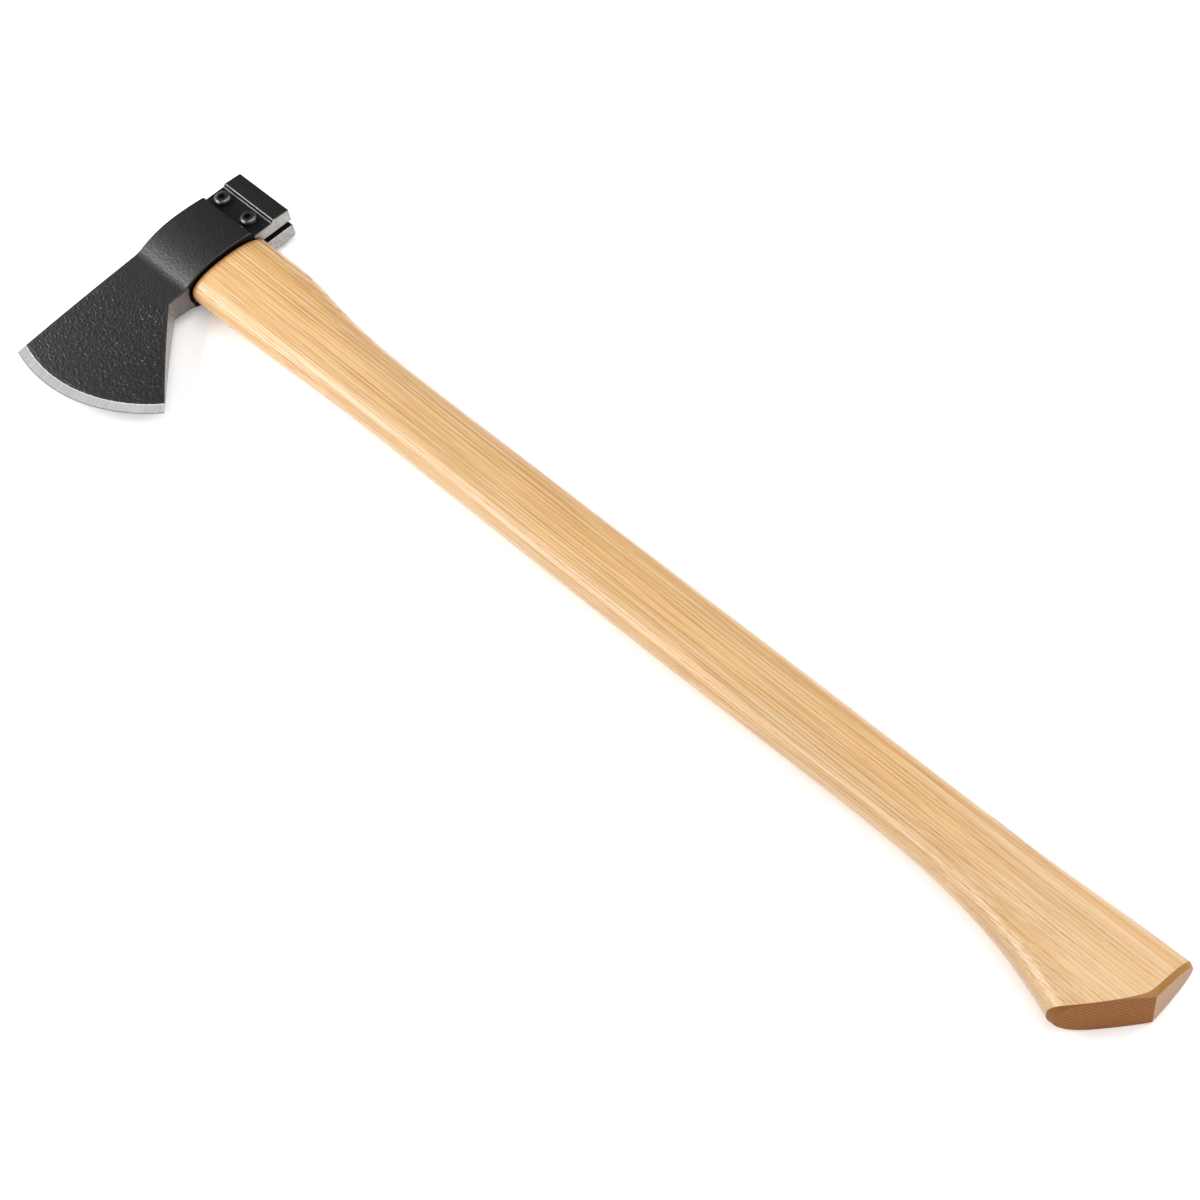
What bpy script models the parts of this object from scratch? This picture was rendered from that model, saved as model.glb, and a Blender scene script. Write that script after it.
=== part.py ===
"""Felling axe with a head clamped on its haft by two screws.

Units are metres and +Z is up. The axe lies on its right cheek: the haft runs along X with
the head at the -X end, the cutting edge faces -Y and the poll faces +Y. Dimensions are held
in the design frame, whose X is zero at the head's lower face, whose Y is zero at the poll's
striking face and whose Z is zero at the mid-plane. An empty carries that frame to the
centre of the bottom of the axe's bounding box.
"""

import math

import bmesh
import bpy
from mathutils import Matrix

MM = 0.001
INCH = 25.4 * MM

# Whole axe
OVERALL_LENGTH = 30.0 * INCH
HEAD_HEIGHT = 48.2 * MM
GAP = 0.3 * MM

# Poll: a tapered hammer block and the channel that seats the screws
STRIKING_FACE_HALF = 11.1 * MM
BLOCK_STEP_HALF = 12.0 * MM
BLOCK_LENGTH = 12.4 * MM
CHANNEL_HALF = 10.4 * MM
CHANNEL_FRONT = 27.75 * MM
STEP_RUN = 1.25 * MM

# Eye cheeks, from the channel to the flare
CHEEK_REAR = 29.3 * MM
CHEEK_CROWN = 50.8 * MM
CHEEK_FRONT = 83.1 * MM
CROWN_HALF_TOP = 14.7 * MM
CROWN_HALF_BOTTOM = 15.8 * MM
CHEEK_REAR_DROP = 1.4 * MM
CHEEK_FRONT_HALF_TOP = 7.7 * MM
CHEEK_FRONT_HALF_BOTTOM = 8.4 * MM
FLARE_POWER = 2.2
CHEEK_STEPS = 14

# Bit: a fan from the beard's corner to the curved cutting edge
BEARD = 96.3 * MM
BEARD_HALF_TOP = 6.9 * MM
BEARD_HALF_BOTTOM = 7.4 * MM
EDGE_RADIUS = 110.3 * MM
EDGE_CENTRE_X = -20.6 * MM
EDGE_CENTRE_Y = -72.2 * MM
HEEL_X = 59.4 * MM
BEVEL_WIDTH = 6.3 * MM
BEVEL_HALF = 1.05 * MM
EDGE_HALF = 0.12 * MM
FLANK_HOLLOW = 0.8 * MM
HEAD_CHAMFER = 0.5 * MM

# Eye and the haft's tongue in it
EYE_CENTRE = 49.75 * MM
TONGUE_FRONT = 29.5 * MM
TONGUE_REAR = 22.9 * MM
TONGUE_HALF = 11.1 * MM
EYE_CLEARANCE = 0.5 * MM
MOUTH_FLARE = 2.3 * MM
MOUTH_DEPTH = 2.4 * MM
TONGUE_LEAD = 1.0 * MM
SLIT_HALF = 2.25 * MM
SLIT_OVERRUN = 4.0 * MM

# Haft: fullness of its oval's two ends (the front one fills out beyond BUTT_SWELL_X), where
# they meet, its shoulder and its butt
FRONT_POWER = 2.5
BUTT_FRONT_POWER = 3.0
REAR_POWER = 2.15
BUTT_SWELL_X = 620.0 * MM
OVAL_MEETING = 0.52
SHOULDER_GAP = 0.4 * MM
SHOULDER_ROUND = 1.3 * MM
SHOULDER_EASE = 0.3
BUTT_RIDGE_Y = 54.9 * MM
BUTT_SLANT = math.radians(40.0)
BUTT_CHAMFER = 1.6 * MM

# Quarter-inch clamp screws, 20 threads to the inch
SCREW_X = (-38.9 * MM, -13.0 * MM)
SCREW_Y = -21.4 * MM
SCREW_HEAD_RADIUS = 5.55 * MM
SCREW_HEAD_HEIGHT = 3.35 * MM
SCREW_RIM = 0.7 * MM
SCREW_CROWN_RADIUS = 3.1 * MM
SCREW_SHANK_RADIUS = INCH / 8.0
SCREW_TIP_CHAMFER = 0.6 * MM
SOCKET_FLATS = 5.0 / 32.0 * INCH
SOCKET_DEPTH = 2.2 * MM
HOLE_RADIUS = SCREW_SHANK_RADIUS + GAP
NUT_FLATS = 7.0 / 16.0 * INCH
NUT_HEIGHT = 4.0 * MM
NUT_CHAMFER = 0.55 * MM
SCREW_TIP_BELOW_NUT = 0.3 * MM

# Facets
ACROSS_HEAD = 14
FAN_STEPS = 6
HAFT_SIDES = 40
ROUND_SIDES = 32
BUTTON_STEPS = 6
SHARP_DEGREES = 28.0
MERGE_DISTANCE = 0.01 * MM

# Rings of the haft: from the first one, wide apart only where the haft is straight
FIRST_RING_X = 8.0 * MM
STRAIGHT_FROM = 150.0 * MM
STRAIGHT_TO = 560.0 * MM
CLOSE_RINGS = 10.0 * MM
WIDE_RINGS = 30.0 * MM
PAST_BUTT = 12.0 * MM

HEAD_TOP_X = -HEAD_HEIGHT
BUTT_X = OVERALL_LENGTH - HEAD_HEIGHT
EDGE_Y = EDGE_CENTRE_Y - EDGE_RADIUS

# Haft outline in millimetres, as (distance along X, distance of the side from the striking
# face), and below it the half thickness, as (distance along X, half thickness)
HAFT_FRONT = [
    (0.0, 80.0), (65.0, 78.3), (130.0, 75.6), (215.0, 74.5), (390.0, 73.4), (500.0, 71.5),
    (560.0, 71.0), (600.0, 73.0), (635.0, 78.2), (660.0, 84.8), (684.0, 93.2), (714.0, 105.0),
]
HAFT_REAR = [
    (0.0, 21.9), (48.0, 22.5), (80.0, 26.6), (105.0, 29.4), (135.0, 30.9), (175.0, 31.2),
    (300.0, 30.4), (480.0, 29.0), (620.0, 28.2), (680.0, 25.9), (714.0, 24.8),
]
HAFT_HALF = [
    (0.0, 11.9), (60.0, 11.9), (130.0, 12.1), (350.0, 12.6), (540.0, 13.0), (620.0, 14.3),
    (680.0, 15.4), (714.0, 15.5),
]


def clear_scene():
    """Remove every object, so the axe is built in an empty scene."""
    for obj in list(bpy.data.objects):
        bpy.data.objects.remove(obj, do_unlink=True)


def make_collection(name):
    """A new collection linked to the scene."""
    collection = bpy.data.collections.new(name)
    bpy.context.scene.collection.children.link(collection)
    return collection


def make_material(name, color, roughness, metallic):
    """A plain Principled material."""
    material = bpy.data.materials.new(name)
    material.use_nodes = True
    shader = material.node_tree.nodes["Principled BSDF"]
    shader.inputs["Base Color"].default_value = (*color, 1.0)
    shader.inputs["Roughness"].default_value = roughness
    shader.inputs["Metallic"].default_value = metallic
    return material


def add_object(name, bm, collection, frame, material=None):
    """Turn a bmesh into a named object that is a child of the design frame."""
    mesh = bpy.data.meshes.new(name)
    bmesh.ops.recalc_face_normals(bm, faces=bm.faces)
    bm.to_mesh(mesh)
    bm.free()
    obj = bpy.data.objects.new(name, mesh)
    collection.objects.link(obj)
    obj.parent = frame
    if material:
        mesh.materials.append(material)
    return obj


def smooth(obj):
    """Smooth shading with sharp edges where faces meet at a clear angle."""
    obj.data.shade_smooth()
    obj.data.set_sharp_from_angle(angle=math.radians(SHARP_DEGREES))


def as_cutter(obj):
    """Keep a cutter out of renders and show it as a wire."""
    obj.hide_render = True
    obj.display_type = "WIRE"
    return obj


def cut(obj, cutter, operation="DIFFERENCE"):
    """Boolean the cutter with the object."""
    modifier = obj.modifiers.new(cutter.name, "BOOLEAN")
    modifier.object = cutter
    modifier.operation = operation
    modifier.solver = "EXACT"


def mix(a, b, t):
    """Value at t between a and b."""
    return a + (b - a) * t


def through(points, x):
    """Smooth curve through points (in millimetres), read at x in metres."""
    at = x / MM
    last = len(points) - 1
    i = 0
    while i < last - 1 and at > points[i + 1][0]:
        i += 1
    slopes = []
    for k in (i, i + 1):
        low = points[max(k - 1, 0)]
        high = points[min(k + 1, last)]
        slopes.append((high[1] - low[1]) / (high[0] - low[0]))
    x0, y0 = points[i]
    x1, y1 = points[i + 1]
    width = x1 - x0
    t = (at - x0) / width
    h00 = (1.0 + 2.0 * t) * (1.0 - t) ** 2
    h10 = t * (1.0 - t) ** 2
    h01 = t * t * (3.0 - 2.0 * t)
    h11 = t * t * (t - 1.0)
    value = h00 * y0 + h10 * width * slopes[0] + h01 * y1 + h11 * width * slopes[1]
    return value * MM


def loft(rings, cap_first, cap_last):
    """Skin of quads through rings of equal length, with a face on each chosen end."""
    bm = bmesh.new()
    verts = [[bm.verts.new(point) for point in ring] for ring in rings]
    count = len(rings[0])
    for near, far in zip(verts, verts[1:]):
        for i in range(count):
            j = (i + 1) % count
            bm.faces.new((near[i], near[j], far[j], far[i]))
    if cap_first:
        bm.faces.new(verts[0])
    if cap_last:
        bm.faces.new(verts[-1])
    return bm, verts


# Head ------------------------------------------------------------------------------------


def cheek_half(y, crown, front):
    """Half thickness of the eye cheek at a distance y, from its crown down to its front."""
    if y < CHEEK_CROWN:
        t = (CHEEK_CROWN - y) / (CHEEK_CROWN - CHEEK_REAR)
        return crown - CHEEK_REAR_DROP * t * t
    t = (y - CHEEK_CROWN) / (CHEEK_FRONT - CHEEK_CROWN)
    return crown - (crown - front) * t ** FLARE_POWER


def straight_stations():
    """Stations (distance, half at top, half at bottom, inset) from the poll to the beard."""
    stations = [
        (0.0, STRIKING_FACE_HALF - HEAD_CHAMFER, STRIKING_FACE_HALF - HEAD_CHAMFER, HEAD_CHAMFER),
        (HEAD_CHAMFER, STRIKING_FACE_HALF, STRIKING_FACE_HALF, 0.0),
        (BLOCK_LENGTH, BLOCK_STEP_HALF, BLOCK_STEP_HALF, 0.0),
        (BLOCK_LENGTH + STEP_RUN, CHANNEL_HALF, CHANNEL_HALF, 0.0),
        (CHANNEL_FRONT, CHANNEL_HALF, CHANNEL_HALF, 0.0),
    ]
    for k in range(CHEEK_STEPS + 1):
        y = mix(CHEEK_REAR, CHEEK_FRONT, k / CHEEK_STEPS)
        top = cheek_half(y, CROWN_HALF_TOP, CHEEK_FRONT_HALF_TOP)
        bottom = cheek_half(y, CROWN_HALF_BOTTOM, CHEEK_FRONT_HALF_BOTTOM)
        stations.append((y, top, bottom, 0.0))
    return stations


def head_ring(plan, halves):
    """Closed ring over a row of plan points, with chamfered outer edges."""
    upper = []
    last = len(plan) - 1
    for i, ((x, y), half) in enumerate(zip(plan, halves)):
        chamfer = min(HEAD_CHAMFER, 0.5 * half)
        neighbour = plan[1] if i == 0 else plan[last - 1]
        if i in (0, last):
            run = math.hypot(neighbour[0] - x, neighbour[1] - y)
            inner_x = mix(x, neighbour[0], chamfer / run)
            inner_y = mix(y, neighbour[1], chamfer / run)
            corner = [(x, y, half - chamfer), (inner_x, inner_y, half)]
            upper += corner if i == 0 else corner[::-1]
        else:
            upper.append((x, y, half))
    lower = [(x, y, -z) for x, y, z in reversed(upper)]
    return upper + lower


def arc_row(radius):
    """Plan points on an arc about the edge's centre, from the head's top to the flank."""
    start_y = EDGE_CENTRE_Y - math.sqrt(radius ** 2 - (HEAD_TOP_X - EDGE_CENTRE_X) ** 2)
    start = math.atan2(start_y - EDGE_CENTRE_Y, HEAD_TOP_X - EDGE_CENTRE_X)
    heel_x, heel_y = flank_crossing(radius)
    end = math.atan2(heel_y - EDGE_CENTRE_Y, heel_x - EDGE_CENTRE_X)
    row = []
    for i in range(ACROSS_HEAD + 1):
        angle = mix(start, end, i / ACROSS_HEAD)
        row.append((EDGE_CENTRE_X + radius * math.cos(angle), EDGE_CENTRE_Y + radius * math.sin(angle)))
    return row


def flank_crossing(radius):
    """Where the flank, from the beard's corner to the heel, meets an arc of the edge."""
    heel_y = EDGE_CENTRE_Y - math.sqrt(EDGE_RADIUS ** 2 - (HEEL_X - EDGE_CENTRE_X) ** 2)
    dx = HEEL_X
    dy = heel_y + BEARD
    cx = -EDGE_CENTRE_X
    cy = -BEARD - EDGE_CENTRE_Y
    a = dx * dx + dy * dy
    b = 2.0 * (cx * dx + cy * dy)
    c = cx * cx + cy * cy - radius * radius
    t = (-b + math.sqrt(b * b - 4.0 * a * c)) / (2.0 * a)
    return dx * t, -BEARD + dy * t


def head_rings():
    """Rings of the forging, from the striking face to the cutting edge."""
    rings = []
    for y, top, bottom, inset in straight_stations():
        plan = []
        halves = []
        for i in range(ACROSS_HEAD + 1):
            t = i / ACROSS_HEAD
            plan.append((mix(HEAD_TOP_X + inset, -inset, t), -y))
            halves.append(mix(top, bottom, t))
        rings.append(head_ring(plan, halves))
    beard_row = [(mix(HEAD_TOP_X, 0.0, i / ACROSS_HEAD), -BEARD) for i in range(ACROSS_HEAD + 1)]
    bevel_row = arc_row(EDGE_RADIUS - BEVEL_WIDTH)
    for k in range(FAN_STEPS + 1):
        v = k / FAN_STEPS
        plan = []
        halves = []
        for i, (a, b) in enumerate(zip(beard_row, bevel_row)):
            beard_half = mix(BEARD_HALF_TOP, BEARD_HALF_BOTTOM, i / ACROSS_HEAD)
            hollow = FLANK_HOLLOW * math.sin(math.pi * v) * i / ACROSS_HEAD
            plan.append((mix(a[0], b[0], v) - hollow, mix(a[1], b[1], v)))
            halves.append(mix(beard_half, BEVEL_HALF, v))
        rings.append(head_ring(plan, halves))
    edge_row = arc_row(EDGE_RADIUS)
    rings.append(head_ring(edge_row, [EDGE_HALF] * len(edge_row)))
    return rings


def make_head(parts, cutters, frame, material):
    """The forging, with its eye, slit and screw holes cut out."""
    bm, verts = loft(head_rings(), cap_first=False, cap_last=False)
    for ring in (verts[0], verts[-1]):
        half = len(ring) // 2
        for i in range(half - 1):
            bm.faces.new((ring[i], ring[i + 1], ring[-2 - i], ring[-1 - i]))
    head = add_object("axe_head", bm, parts, frame, material)
    cut(head, make_eye_cutter(cutters, frame))
    cut(head, make_slit_cutter(cutters, frame))
    for x in SCREW_X:
        hole = make_hole_cutter("screw_hole_cutter", 4.0 * CHANNEL_HALF, cutters, frame)
        hole.location = (x, SCREW_Y, 0.0)
        cut(head, hole)
    smooth(head)
    return head


def oval_ring(x, centre, front, rear, half, sides, front_power=FRONT_POWER):
    """Ring in a plane of constant X: a full front end and a slimmer rear end."""
    ring = []
    for k in range(sides):
        angle = 2.0 * math.pi * k / sides
        c = math.cos(angle)
        s = math.sin(angle)
        power = 2.0 / (front_power if c < 0.0 else REAR_POWER)
        reach = front if c < 0.0 else rear
        y = math.copysign(abs(c) ** power, c) * reach - centre
        z = math.copysign(abs(s) ** power, s) * half
        ring.append((x, y, z))
    return ring


def eye_ring(x, grow):
    """Ring of the eye at x, a distance grow outside the haft's tongue."""
    return oval_ring(
        x, EYE_CENTRE, TONGUE_FRONT + grow, TONGUE_REAR + grow, TONGUE_HALF + grow, HAFT_SIDES
    )


def make_eye_cutter(cutters, frame):
    """Through hole for the tongue, flared at the head's lower face."""
    overrun = 2.0 * MM
    flare_out = EYE_CLEARANCE + MOUTH_FLARE
    rings = [
        eye_ring(HEAD_TOP_X - overrun, EYE_CLEARANCE),
        eye_ring(-MOUTH_DEPTH, EYE_CLEARANCE),
        eye_ring(0.0, flare_out),
        eye_ring(overrun, flare_out),
    ]
    bm, _ = loft(rings, cap_first=True, cap_last=True)
    return as_cutter(add_object("eye_cutter", bm, cutters, frame))


def make_slit_cutter(cutters, frame):
    """Slot in the mid-plane from the eye out through the striking face."""
    front = EYE_CENTRE - TONGUE_REAR + SLIT_OVERRUN
    back = -SLIT_OVERRUN
    size = (HEAD_HEIGHT + SLIT_OVERRUN, front - back, 2.0 * SLIT_HALF)
    bm = bmesh.new()
    bmesh.ops.create_cube(bm, size=1.0)
    bmesh.ops.scale(bm, vec=size, verts=bm.verts)
    slit = add_object("slit_cutter", bm, cutters, frame)
    slit.location = (-HEAD_HEIGHT / 2.0, -(front + back) / 2.0, 0.0)
    return as_cutter(slit)


def make_hole_cutter(name, depth, cutters, frame):
    """Cylinder about Z that cuts the clearance hole for a screw's shank."""
    bm = bmesh.new()
    bmesh.ops.create_cone(
        bm, cap_ends=True, segments=ROUND_SIDES, radius1=HOLE_RADIUS, radius2=HOLE_RADIUS,
        depth=depth,
    )
    return as_cutter(add_object(name, bm, cutters, frame))


# Haft ------------------------------------------------------------------------------------


def haft_ring(x, inset=0.0):
    """Ring of the haft's outer surface at x, drawn in by inset."""
    front_y = through(HAFT_FRONT, x)
    rear_y = through(HAFT_REAR, x)
    half = through(HAFT_HALF, x) - inset
    centre = mix(front_y, rear_y, OVAL_MEETING)
    swell = min(max((x - BUTT_SWELL_X) / (BUTT_X - BUTT_SWELL_X), 0.0), 1.0)
    return oval_ring(
        x, centre, front_y - centre - inset, centre - rear_y - inset, half, HAFT_SIDES,
        mix(FRONT_POWER, BUTT_FRONT_POWER, swell),
    )


def haft_stations():
    """Distances along X of the haft's rings beyond the shoulder, closer where it curves."""
    stations = []
    x = FIRST_RING_X
    while x < BUTT_X + PAST_BUTT:
        stations.append(x)
        straight = STRAIGHT_FROM < x < STRAIGHT_TO
        x += WIDE_RINGS if straight else CLOSE_RINGS
    return stations


def make_haft(parts, frame, material):
    """Hickory haft: tongue, shoulder, grip and a butt cut to a ridge."""
    rings = [
        eye_ring(HEAD_TOP_X, -TONGUE_LEAD),
        eye_ring(HEAD_TOP_X + TONGUE_LEAD, 0.0),
        eye_ring(SHOULDER_GAP, 0.0),
        haft_ring(SHOULDER_GAP, SHOULDER_ROUND),
        haft_ring(SHOULDER_GAP + SHOULDER_EASE * SHOULDER_ROUND, SHOULDER_EASE * SHOULDER_ROUND),
        haft_ring(SHOULDER_GAP + SHOULDER_ROUND, 0.0),
    ]
    rings += [haft_ring(x) for x in haft_stations()]
    bm, _ = loft(rings, cap_first=True, cap_last=True)
    cut_butt(bm)
    haft = add_object("haft", bm, parts, frame, material)
    smooth(haft)
    return haft


def cut_butt(bm):
    """Cut the butt square behind its ridge and slanted before it, and chamfer the rims."""
    ridge = (BUTT_X, -BUTT_RIDGE_Y, 0.0)
    slant = (math.cos(BUTT_SLANT), -math.sin(BUTT_SLANT), 0.0)
    for normal in ((1.0, 0.0, 0.0), slant):
        geometry = bm.verts[:] + bm.edges[:] + bm.faces[:]
        result = bmesh.ops.bisect_plane(
            bm, geom=geometry, plane_co=ridge, plane_no=normal, clear_outer=True
        )
        rim = [item for item in result["geom_cut"] if isinstance(item, bmesh.types.BMEdge)]
        bmesh.ops.contextual_create(bm, geom=rim)
    bmesh.ops.dissolve_degenerate(bm, dist=5.0 * MERGE_DISTANCE, edges=bm.edges)
    bm.normal_update()
    ends = [
        face for face in bm.faces
        if len(face.verts) > 6 and face.calc_center_median().x > BUTT_X / 2.0
    ]
    rims = [
        edge for edge in bm.edges
        if len(edge.link_faces) == 2 and sum(face in ends for face in edge.link_faces) == 1
    ]
    bmesh.ops.bevel(
        bm, geom=rims, offset=BUTT_CHAMFER, segments=2, profile=0.5, affect="EDGES",
        offset_type="OFFSET", clamp_overlap=True,
    )


# Clamp screws and nuts -------------------------------------------------------------------


def turned(name, profile, collection, frame, material=None):
    """Solid of revolution about Z from a profile that runs down its outer side."""
    bm = bmesh.new()
    verts = [bm.verts.new((radius, 0.0, z)) for radius, z in profile]
    for a, b in zip(verts, verts[1:]):
        bm.edges.new((a, b))
    obj = add_object(name, bm, collection, frame, material)
    modifier = obj.modifiers.new("turn", "SCREW")
    modifier.steps = ROUND_SIDES
    modifier.render_steps = ROUND_SIDES
    modifier.use_merge_vertices = True
    modifier.merge_threshold = MERGE_DISTANCE
    modifier.use_smooth_shade = True
    return obj


def hex_prism(name, flats, height, collection, frame, material=None):
    """Hexagonal prism on the XY plane, with two flats facing +Y and -Y."""
    radius = flats / math.sqrt(3.0)
    bm = bmesh.new()
    bmesh.ops.create_cone(
        bm, cap_ends=True, segments=6, radius1=radius, radius2=radius, depth=height
    )
    bmesh.ops.rotate(bm, verts=bm.verts, matrix=Matrix.Rotation(math.radians(30.0), 3, "Z"))
    bmesh.ops.translate(bm, verts=bm.verts, vec=(0.0, 0.0, height / 2.0))
    return add_object(name, bm, collection, frame, material)


def screw_profile():
    """Button head on a plain shank, from the crown's centre down to the tip."""
    profile = [(0.0, SCREW_HEAD_HEIGHT), (SCREW_CROWN_RADIUS, SCREW_HEAD_HEIGHT)]
    for k in range(1, BUTTON_STEPS + 1):
        angle = math.pi / 2.0 * k / BUTTON_STEPS
        radius = mix(SCREW_CROWN_RADIUS, SCREW_HEAD_RADIUS, math.sin(angle))
        z = mix(SCREW_RIM, SCREW_HEAD_HEIGHT, math.cos(angle))
        profile.append((radius, z))
    tip = -(2.0 * CHANNEL_HALF + 2.0 * GAP + NUT_HEIGHT + SCREW_TIP_BELOW_NUT)
    profile += [
        (SCREW_HEAD_RADIUS, 0.0),
        (SCREW_SHANK_RADIUS, 0.0),
        (SCREW_SHANK_RADIUS, tip + SCREW_TIP_CHAMFER),
        (SCREW_SHANK_RADIUS - SCREW_TIP_CHAMFER, tip),
        (0.0, tip),
    ]
    return profile


def make_screw(name, x, parts, cutters, frame, material):
    """One button-head screw with a hexagon socket, its origin on its own axis."""
    screw = turned(name, screw_profile(), parts, frame, material)
    screw.location = (x, SCREW_Y, CHANNEL_HALF + GAP)
    socket = as_cutter(hex_prism(name + "_socket", SOCKET_FLATS, 2.0 * SOCKET_DEPTH, cutters, frame))
    socket.location = (x, SCREW_Y, CHANNEL_HALF + GAP + SCREW_HEAD_HEIGHT - SOCKET_DEPTH)
    cut(screw, socket)
    return screw


def make_nut(name, x, parts, cutters, frame, material):
    """One hexagon nut under the far channel, its origin on the screw's axis."""
    corner = NUT_FLATS / math.sqrt(3.0)
    bevel = corner - NUT_FLATS / 2.0
    profile = [
        (0.0, NUT_HEIGHT),
        (corner - bevel, NUT_HEIGHT),
        (corner, NUT_HEIGHT - NUT_CHAMFER),
        (corner, NUT_CHAMFER),
        (corner - bevel, 0.0),
        (0.0, 0.0),
    ]
    nut = hex_prism(name, NUT_FLATS, NUT_HEIGHT, parts, frame, material)
    nut.location = (x, SCREW_Y, -(CHANNEL_HALF + GAP + NUT_HEIGHT))
    envelope = as_cutter(turned(name + "_chamfer", profile, cutters, frame))
    envelope.location = nut.location
    cut(nut, envelope, "INTERSECT")
    bore = make_hole_cutter(name + "_bore", 4.0 * NUT_HEIGHT, cutters, frame)
    bore.location = nut.location
    cut(nut, bore)
    return nut


def main():
    clear_scene()
    parts = make_collection("felling_axe")
    cutters = make_collection("cutters")
    frame = bpy.data.objects.new("design_frame", None)
    parts.objects.link(frame)

    coated = make_material("black_coated_steel", (0.018, 0.018, 0.02), 0.5, 0.3)
    hickory = make_material("varnished_hickory", (0.72, 0.47, 0.24), 0.42, 0.0)
    blackened = make_material("blackened_screw_steel", (0.05, 0.05, 0.055), 0.35, 0.9)

    head = make_head(parts, cutters, frame, coated)
    haft = make_haft(parts, frame, hickory)
    half_thickness = max(vertex.co.z for obj in (head, haft) for vertex in obj.data.vertices)
    frame.location = (-(BUTT_X + HEAD_TOP_X) / 2.0, -EDGE_Y / 2.0, half_thickness)
    for label, x in zip(("upper", "lower"), SCREW_X):
        make_screw("clamp_screw_" + label, x, parts, cutters, frame, blackened)
        make_nut("clamp_nut_" + label, x, parts, cutters, frame, blackened)


main()
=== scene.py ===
"""Looks of a felling axe with a screw-clamped head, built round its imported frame.

Shapes are worked out in the design frame: X is zero at the head's lower face and runs to the
butt, Y is zero at the striking face and falls towards the cutting edge, Z is zero at the
mid-plane. ORIGIN carries them to the row frame.
"""

import math

import bmesh
import bpy
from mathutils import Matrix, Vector, noise


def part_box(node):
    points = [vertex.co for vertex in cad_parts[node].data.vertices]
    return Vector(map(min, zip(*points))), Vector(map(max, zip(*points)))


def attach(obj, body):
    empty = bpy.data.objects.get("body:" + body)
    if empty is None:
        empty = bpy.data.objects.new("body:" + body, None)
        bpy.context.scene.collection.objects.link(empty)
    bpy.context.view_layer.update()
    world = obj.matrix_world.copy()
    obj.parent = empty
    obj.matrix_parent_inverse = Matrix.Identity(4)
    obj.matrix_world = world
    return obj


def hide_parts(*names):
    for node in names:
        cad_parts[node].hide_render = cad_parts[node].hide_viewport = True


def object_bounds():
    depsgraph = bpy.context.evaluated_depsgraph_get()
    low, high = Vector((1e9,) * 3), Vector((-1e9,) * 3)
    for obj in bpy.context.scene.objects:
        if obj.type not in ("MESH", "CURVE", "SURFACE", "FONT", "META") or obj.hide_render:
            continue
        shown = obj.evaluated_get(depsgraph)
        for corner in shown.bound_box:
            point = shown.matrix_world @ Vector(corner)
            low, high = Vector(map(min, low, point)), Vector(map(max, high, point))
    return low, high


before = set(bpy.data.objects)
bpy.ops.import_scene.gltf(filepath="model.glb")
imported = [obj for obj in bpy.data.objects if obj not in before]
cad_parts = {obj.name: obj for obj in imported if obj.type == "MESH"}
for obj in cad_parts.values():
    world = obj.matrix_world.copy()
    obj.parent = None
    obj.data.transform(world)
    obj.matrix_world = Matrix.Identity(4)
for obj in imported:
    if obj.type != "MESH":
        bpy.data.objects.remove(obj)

cad_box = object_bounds()

MM = 0.001

# Places, read from the frame
HEAD_LOW, HEAD_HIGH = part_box("axe_head")
HAFT_LOW, HAFT_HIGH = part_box("haft")
HEAD_HEIGHT = 48.2 * MM
ORIGIN = Vector((HEAD_LOW.x + HEAD_HEIGHT, HEAD_HIGH.y, (HEAD_LOW.z + HEAD_HIGH.z) / 2.0))
HEAD_TOP_X = -HEAD_HEIGHT
BUTT_X = HAFT_HIGH.x - ORIGIN.x

# Shift of points that are worked out in the row frame
IN_ROW_FRAME = Vector()

# Poll, as in the frame
STRIKING_FACE_HALF = 11.1 * MM
BLOCK_STEP_HALF = 12.0 * MM
BLOCK_LENGTH = 12.4 * MM
CHANNEL_HALF = 10.4 * MM
CHANNEL_FRONT = 27.75 * MM
STEP_RUN = 1.25 * MM

# Eye cheeks
CHEEK_REAR = 29.3 * MM
CHEEK_CROWN = 50.8 * MM
CHEEK_FRONT = 83.1 * MM
CROWN_HALF_TOP = 14.7 * MM
CROWN_HALF_BOTTOM = 15.8 * MM
CHEEK_REAR_DROP = 1.4 * MM
CHEEK_FRONT_HALF_TOP = 7.7 * MM
CHEEK_FRONT_HALF_BOTTOM = 8.4 * MM
FLARE_POWER = 2.2

# Bit
BEARD = 96.3 * MM
BEARD_HALF_TOP = 6.9 * MM
BEARD_HALF_BOTTOM = 7.4 * MM
EDGE_CENTRE_X = -20.6 * MM
EDGE_CENTRE_Y = -72.2 * MM
EDGE_RADIUS = EDGE_CENTRE_Y - (HEAD_LOW.y - ORIGIN.y)
HEEL_X = 59.4 * MM
BEVEL_WIDTH = 6.3 * MM
BEVEL_HALF = 1.05 * MM
EDGE_HALF = 0.12 * MM
FLANK_HOLLOW = 0.8 * MM
BIT_BELLY = 0.25
KINK_SOFTNESS = 3.0 * MM
STEP_SOFTNESS = 0.36 * MM
EDGE_ROUND = 0.5 * MM
COAT_WRAP = 0.45 * MM
POLL_ROUND = 0.6 * MM

# Eye, slit and tongue
EYE_CENTRE = 49.75 * MM
TONGUE_FRONT = 29.5 * MM
TONGUE_REAR = 22.9 * MM
TONGUE_HALF = 11.1 * MM
EYE_CLEARANCE = 0.5 * MM
MOUTH_FLARE = 2.3 * MM
MOUTH_DEPTH = 1.6 * MM
TOP_FLARE = 0.4 * MM
SLIT_HALF = 2.25 * MM
SLIT_CHAMFER = 0.4 * MM
OVERRUN = 3.0 * MM

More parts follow.
